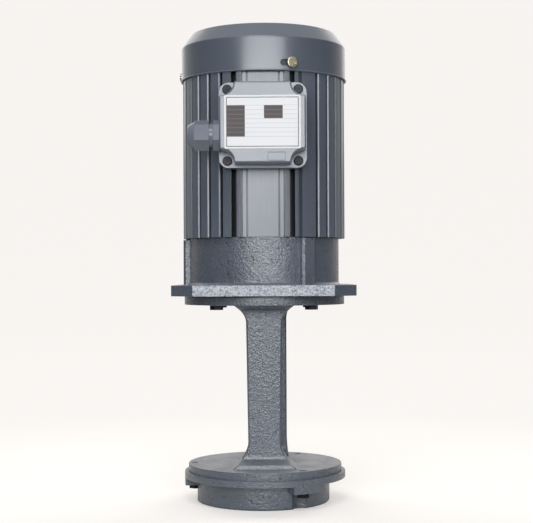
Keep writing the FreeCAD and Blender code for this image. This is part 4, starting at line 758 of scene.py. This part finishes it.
def cast_aluminium():
    """As cast, with the outside of the end shield's rim under the motor's paint, darkened well below that
    paint as painted shade under the fan cover.
    """
    def build(name):
        bare = (0.60, 0.61, 0.62, 1.0)
        grain_depth = 0.00015
        material, tree, shader, vector = start_material(name)
        tone = placed_group(tree, handled_group(), vector, Colour=bare, Shade=0.2, Roughness=0.45, Spread=0.2)
        # Paint with painted shade: past this radius the rim takes the cover paint darkened to DARK_SHARE of
        # it, non-metallic.
        rim = placed_group(tree, radius_group(), vector, Low=RIM_PAINT_AND_SHADE_R[0], High=RIM_PAINT_AND_SHADE_R[1])
        paint_and_shade = rim["Share"]
        dark = scaled(bpy.context.scene.pump_paint.sheet, DARK_SHARE)
        tree.links.new(mixed(tree, paint_and_shade, tone["Color"], dark), shader.inputs["Base Color"])
        tree.links.new(maths(tree, "SUBTRACT", 1.0, paint_and_shade), shader.inputs["Metallic"])
        tree.links.new(tone["Roughness"], shader.inputs["Roughness"])
        bump_to(tree, shader, noise(tree, vector, scale=300.0, detail=4.0, rough=0.6), grain_depth)
        return material
    return once("Cast aluminium", build)


def copper_winding():
    """Varnished wires that run round the shaft."""
    def build(name):
        gap_colour = (0.16, 0.05, 0.015, 1)
        wire_colour = (0.50, 0.20, 0.07, 1)
        wire_depth = 0.0002
        material, tree, shader, vector = start_material(name)
        shader.inputs["Metallic"].default_value = 0.6
        shader.inputs["Coat Weight"].default_value = 0.6
        shader.inputs["Roughness"].default_value = 0.35
        wires = tree.nodes.new("ShaderNodeTexWave")
        wires.wave_type = "RINGS"
        wires.rings_direction = "Z"
        wires.inputs["Scale"].default_value = 320.0
        wires.inputs["Distortion"].default_value = 1.5
        tree.links.new(vector, wires.inputs["Vector"])
        colour = mixed(tree, wires.outputs["Fac"], gap_colour, wire_colour)
        tree.links.new(colour, shader.inputs["Base Color"])
        bump_to(tree, shader, wires.outputs["Fac"], wire_depth)
        return material
    return once("Varnished copper wire", build)


def lamination_steel():
    """The edges of stacked sheets."""
    def build(name):
        gap_colour = (0.10, 0.10, 0.11, 1)
        sheet_colour = (0.28, 0.28, 0.30, 1)
        sheet_depth = 0.0001
        material, tree, shader, vector = start_material(name)
        shader.inputs["Metallic"].default_value = 0.9
        shader.inputs["Roughness"].default_value = 0.5
        sheets = tree.nodes.new("ShaderNodeTexWave")
        sheets.bands_direction = "Z"
        sheets.inputs["Scale"].default_value = 650.0
        tree.links.new(vector, sheets.inputs["Vector"])
        colour = mixed(tree, sheets.outputs["Fac"], gap_colour, sheet_colour)
        tree.links.new(colour, shader.inputs["Base Color"])
        bump_to(tree, shader, sheets.outputs["Fac"], sheet_depth)
        return material
    return once("Stacked sheet steel", build)


def plate_print(tree, vector):
    """Masks of the plate's frame with its panels, and of its thin rules."""
    half_w, half_h = PLATE_FRAME
    outer = box_mask(tree, vector, 0.0, PLATE_CENTRE_Z, half_w, half_h)
    inner = box_mask(tree, vector, 0.0, PLATE_CENTRE_Z, half_w - PLATE_LINE, half_h - PLATE_LINE)
    ink = maths(tree, "SUBTRACT", outer, inner)
    for centre_x, centre_z, width, height in PLATE_PANELS:
        ink = maths(tree, "MAXIMUM", ink, box_mask(tree, vector, centre_x, centre_z, width / 2, height / 2))
    top = PLATE_PANELS[0][1] + PLATE_PANELS[0][3] / 2
    pitch = PLATE_PANELS[0][3] / PLATE_RULES
    rules = box_mask(tree, vector, 0.0, top, half_w, PLATE_RULE_HALF)
    for step in range(1, PLATE_RULES + 1):
        rule = box_mask(tree, vector, 0.0, top - step * pitch, half_w, PLATE_RULE_HALF)
        rules = maths(tree, "MAXIMUM", rules, rule)
    return ink, rules


def printed_plate():
    """White sheet with a printed frame, two dark panels and thin rules, and no lettering."""
    def build(name):
        rule_strength = 0.5
        sheet_depth = 0.00002
        material, tree, shader, vector = start_material(name)
        ink, rules = plate_print(tree, vector)
        colour = mixed(tree, ink, PLATE_WHITE, PLATE_INK)
        colour = mixed(tree, maths(tree, "MULTIPLY", rules, rule_strength), colour, PLATE_RULE_INK)
        tree.links.new(colour, shader.inputs["Base Color"])
        shader.inputs["Roughness"].default_value = 0.5
        bump_to(tree, shader, noise(tree, vector, scale=300.0, detail=2.0, rough=0.5), sheet_depth)
        return material
    return once("Printed plate", build)


MATERIALS = {
    "casting_paint": casting_paint,
    "housing_paint": housing_paint,
    "cover_paint": cover_paint,
    "box_paint": box_paint,
    "bare_aluminium": cast_aluminium,
    "yellow_zinc": lambda: metal("Yellow zinc plate", (0.66, 0.60, 0.44), roughness=0.30),
    "plain_steel": lambda: metal("Dull zinc plated steel", (0.035, 0.035, 0.038), roughness=0.45),
    "black_steel": lambda: metal("Black oxide steel", (0.035, 0.035, 0.040), roughness=0.42),
    "lamination_steel": lamination_steel,
    "bearing_steel": lambda: metal("Ground bearing steel", (0.66, 0.67, 0.69), roughness=0.12),
    "spring_steel": lambda: metal("Phosphated spring steel", (0.14, 0.14, 0.15), roughness=0.45),
    "shaft_steel": lambda: metal("Turned shaft steel", (0.55, 0.56, 0.58), roughness=0.25),
    "copper_winding": copper_winding,
    "brass": lambda: metal("Turned brass", (0.72, 0.52, 0.22), roughness=0.28),
    "seal_rubber": lambda: moulded("Seal rubber", (0.018, 0.018, 0.019), roughness=0.55),
    "gasket_rubber": lambda: moulded("Gasket rubber", (0.022, 0.022, 0.023), roughness=0.7),
    "gasket_paper": lambda: moulded("Gasket fibre", (0.10, 0.085, 0.065), roughness=0.85,
                                    grain=400.0, depth=0.0002),
    "gland_plastic": lambda: moulded("Gland plastic", bpy.context.scene.pump_paint.plastic, roughness=0.25),
    "fan_plastic": lambda: moulded("Fan plastic", (0.030, 0.030, 0.033), roughness=0.5),
    "phenolic": lambda: moulded("Phenolic block", (0.045, 0.024, 0.014), roughness=0.4),
    "cage_plastic": lambda: moulded("Cage plastic", (0.34, 0.22, 0.10), roughness=0.5),
    "plate_white": printed_plate,
    "impeller_iron": lambda: metal("Cast impeller iron", (0.20, 0.20, 0.21), roughness=0.5, depth=0.0003),
}


# Operators

class PUMP_OT_stage(bpy.types.Operator):
    """Makes the floor, the lamps and the camera"""

    bl_idname = "pump.stage"
    bl_label = "Stage"

    def execute(self, context):
        stage = context.scene.pump_stage
        self.make_floor(stage)
        self.make_surroundings(context, stage)
        self.make_lamps(context, stage)
        self.make_camera(context, stage)
        context.scene.view_settings.view_transform = "Standard"
        return {"FINISHED"}

    def make_floor(self, stage):
        """A round floor that rises to a wall all round."""
        floor_z = cad_bounds[0].z
        points = [Vector((0, 0, floor_z)), Vector((stage.floor_radius, 0, floor_z))]
        for step in range(1, FLOOR_ARC_STEPS + 1):
            turn = math.pi / 2 * step / FLOOR_ARC_STEPS
            points.append(Vector((stage.floor_radius + FLOOR_RISE * math.sin(turn), 0,
                                  floor_z + FLOOR_RISE * (1 - math.cos(turn)))))
        points.append(points[-1] + Vector((0, 0, FLOOR_WALL)))
        floor = spun("studio_floor", points, FLOOR_TURN_STEPS, closed=False)
        bpy.ops.object.shade_smooth()
        floor.data.materials.append(self.floor_material(stage))

    def floor_material(self, stage):
        """Pale near the pump, where it takes the shadow, and glowing white farther off."""
        material, tree, shader, vector = start_material("Pale backdrop")
        shader.inputs["Roughness"].default_value = 0.9
        shader.inputs["Specular IOR Level"].default_value = 0.1
        paths = tree.nodes.new("ShaderNodeLightPath").outputs
        shiny = maths(tree, "MAXIMUM", paths["Is Glossy Ray"], paths["Is Transmission Ray"])
        seen = maths(tree, "MAXIMUM", paths["Is Camera Ray"], shiny)
        length = tree.nodes.new("ShaderNodeVectorMath")
        length.operation = "LENGTH"
        tree.links.new(vector, length.inputs[0])
        far = ramp(tree, length.outputs["Value"], FLOOR_FADE_R[0], FLOOR_FADE_R[1])
        near_colour = scaled(stage.floor_colour, FLOOR_SHARE)
        tree.links.new(mixed(tree, far, near_colour, (0, 0, 0, 1)), shader.inputs["Base Color"])
        behind = ramp(tree, parts_of(tree, vector)["Y"], BACKDROP_FADE_Y[0], BACKDROP_FADE_Y[1])
        level = maths(tree, "MULTIPLY_ADD", behind, stage.back_glow - stage.front_glow, stage.front_glow)
        level = maths(tree, "MAXIMUM", level, maths(tree, "SUBTRACT", 1.0, shiny))
        share = maths(tree, "MULTIPLY_ADD", far, 1.0 - FLOOR_GLOW, FLOOR_GLOW)
        glow = tree.nodes.new("ShaderNodeEmission")
        glow.inputs["Color"].default_value = opaque(stage.backdrop_colour)
        strength = maths(tree, "MULTIPLY", level, maths(tree, "MULTIPLY", seen, share))
        tree.links.new(strength, glow.inputs["Strength"])
        blend = tree.nodes.new("ShaderNodeAddShader")
        tree.links.new(shader.outputs[0], blend.inputs[0])
        tree.links.new(glow.outputs[0], blend.inputs[1])
        tree.links.new(blend.outputs[0], tree.nodes["Material Output"].inputs["Surface"])
        return material

    def make_surroundings(self, context, stage):
        """Even light from all round, which shiny surfaces see brighter."""
        world = bpy.data.worlds.new("Pale surroundings")
        world.use_nodes = True
        tree = world.node_tree
        back = tree.nodes["Background"]
        back.inputs["Color"].default_value = WORLD_LIGHT
        paths = tree.nodes.new("ShaderNodeLightPath")
        level = maths(tree, "MULTIPLY_ADD", paths.outputs["Is Glossy Ray"],
                      stage.ceiling_glow - stage.world_level, stage.world_level)
        tree.links.new(level, back.inputs["Strength"])
        context.scene.world = world

    def make_lamps(self, context, stage):
        """A key lamp and a panel in front, a panel behind, and two fills that only light what is dull."""
        self.lamp(context, "key_softbox", KEY_PLACE, KEY_SIZE, stage.key_power, KEY_LIGHT)
        self.lamp(context, "front_panel", FRONT_PLACE, FRONT_SIZE, stage.panel_power, FRONT_LIGHT)
        self.lamp(context, "back_panel", BACK_PLACE, BACK_SIZE, stage.back_power, BACK_LIGHT)
        for name, side in (("left_fill", -1), ("right_fill", 1)):
            place = (side * FILL_PLACE[0], FILL_PLACE[1], FILL_PLACE[2])
            fill = self.lamp(context, name, place, FILL_SIZE, stage.fill_power, BACK_LIGHT)
            fill.visible_glossy = False

    def lamp(self, context, name, place, size, power, colour):
        data = bpy.data.lights.new(name, "AREA")
        data.shape = "RECTANGLE"
        data.size = size[0]
        data.size_y = size[1]
        data.energy = power
        data.color = colour
        lamp = bpy.data.objects.new(name, data)
        context.scene.collection.objects.link(lamp)
        lamp.location = place
        lamp.rotation_euler = (LAMP_AIM - lamp.location).to_track_quat("-Z", "Y").to_euler()
        return lamp

    def make_camera(self, context, stage):
        """Square to the shaft, shifted so that the shaft and the horizon lie where the picture has them."""
        data = bpy.data.cameras.new("camera")
        data.sensor_width = SENSOR_WIDTH
        data.lens = stage.focal / IMAGE_WIDTH * data.sensor_width
        data.shift_x = (IMAGE_WIDTH / 2 - stage.centre_x) / IMAGE_WIDTH
        data.shift_y = (stage.horizon_y - IMAGE_HEIGHT / 2) / IMAGE_WIDTH
        camera = bpy.data.objects.new("camera", data)
        context.scene.collection.objects.link(camera)
        camera.location = (stage.distance * math.sin(stage.turn), -stage.distance * math.cos(stage.turn),
                           stage.height)
        camera.rotation_euler = (math.pi / 2, stage.roll, stage.turn)
        context.scene.camera = camera


class PUMP_OT_castings(bpy.types.Operator):
    """Rounds the rough castings' edges: motor bracket, column and volute casing"""

    bl_idname = "pump.castings"
    bl_label = "Castings"

    def execute(self, context):
        edges = context.scene.pump_edges
        for node in ("motor_bracket", "pump_column", "volute_casing"):
            dressed(node, "cast_" + node, edges.casting, edges.segments)
        return {"FINISHED"}


class PUMP_OT_housing(bpy.types.Operator):
    """Rounds the fins of the stator housing"""

    bl_idname = "pump.housing"
    bl_label = "Finned housing"

    def execute(self, context):
        edges = context.scene.pump_edges
        dressed("stator_housing", "finned_housing", edges.fins, edges.segments)
        return {"FINISHED"}


class PUMP_OT_fan_cover(bpy.types.Operator):
    """Dresses the pressed fan cover and rolls its lower edge"""

    bl_idname = "pump.fan_cover"
    bl_label = "Fan cover"

    def execute(self, context):
        edges = context.scene.pump_edges
        dressed("fan_cover", "pressed_fan_cover", edges.sheet, segments=1)
        self.rolled_rim()
        return {"FINISHED"}

    def rolled_rim(self):
        """The bead that the cover's lower edge is rolled into."""
        low = min(corner[2] for corner in frame["nodes"]["fan_cover"].bound_box)
        points = []
        for step in range(RIM_STEPS):
            turn = math.tau * step / RIM_STEPS
            height = low + RIM_BEAD * (1 + math.sin(turn))
            points.append(Vector((RIM_R + RIM_BEAD * math.cos(turn), 0, height)))
        rim = spun("fan_cover_rim", points, RIM_TURN_STEPS, closed=True)
        finish_piece(rim, STATIC, cover_paint(), RIM_SMOOTH_ANGLE)


class PUMP_OT_terminal_box(bpy.types.Operator):
    """Rounds the terminal box and its cap, and adds the cap's raised frame"""

    bl_idname = "pump.terminal_box"
    bl_label = "Terminal box"

    def execute(self, context):
        edges = context.scene.pump_edges
        dressed("terminal_box_base", "box_base", edges.box, edges.segments)
        dressed("terminal_box_cover", "box_cap", edges.box, edges.segments)
        face_y = min(corner[1] for corner in frame["nodes"]["terminal_box_cover"].bound_box)
        centre = (FIELD_PLACE[0], face_y, FIELD_PLACE[1])
        field = raised_outline("cap_outline", centre, FIELD_SIZE[0], FIELD_SIZE[1])
        finish_piece(field, STATIC, box_paint(), FIELD_SMOOTH_ANGLE)
        return {"FINISHED"}


class PUMP_OT_inner_pieces(bpy.types.Operator):
    """Gives every CAD piece that is shown as it is its own finish"""

    bl_idname = "pump.inner_pieces"
    bl_label = "Other pieces"

    def execute(self, context):
        for part in frame["record"]["subparts"]:
            piece = frame["nodes"][part["node"]]
            piece.data.materials.clear()
            piece.data.materials.append(MATERIALS[part["material_slot"]]())
        return {"FINISHED"}


class PUMP_PT_panel(bpy.types.Panel):
    """Lists the steps that dress the pump"""

    bl_idname = "PUMP_PT_panel"
    bl_label = "Coolant pump"
    bl_space_type = "VIEW_3D"
    bl_region_type = "UI"
    bl_category = "Pump"

    def draw(self, context):
        for operator in OPERATORS:
            self.layout.operator(operator.bl_idname)


OPERATORS = (
    PUMP_OT_stage,
    PUMP_OT_castings,
    PUMP_OT_housing,
    PUMP_OT_fan_cover,
    PUMP_OT_terminal_box,
    PUMP_OT_inner_pieces,
)
SETTINGS = {
    "pump_paint": PumpPaintSettings,
    "pump_edges": PumpEdgeSettings,
    "pump_stage": PumpStageSettings,
}


def register():
    for group in SETTINGS.values():
        bpy.utils.register_class(group)
    for name, group in SETTINGS.items():
        setattr(bpy.types.Scene, name, PointerProperty(type=group))
    for operator in OPERATORS:
        bpy.utils.register_class(operator)
    bpy.utils.register_class(PUMP_PT_panel)


def unregister():
    bpy.utils.unregister_class(PUMP_PT_panel)
    for operator in reversed(OPERATORS):
        bpy.utils.unregister_class(operator)
    for name in SETTINGS:
        delattr(bpy.types.Scene, name)
    for group in SETTINGS.values():
        bpy.utils.unregister_class(group)


def main():
    register()
    bpy.ops.pump.stage()
    bpy.ops.pump.castings()
    bpy.ops.pump.housing()
    bpy.ops.pump.fan_cover()
    bpy.ops.pump.terminal_box()
    bpy.ops.pump.inner_pieces()


if __name__ == "__main__":
    main()
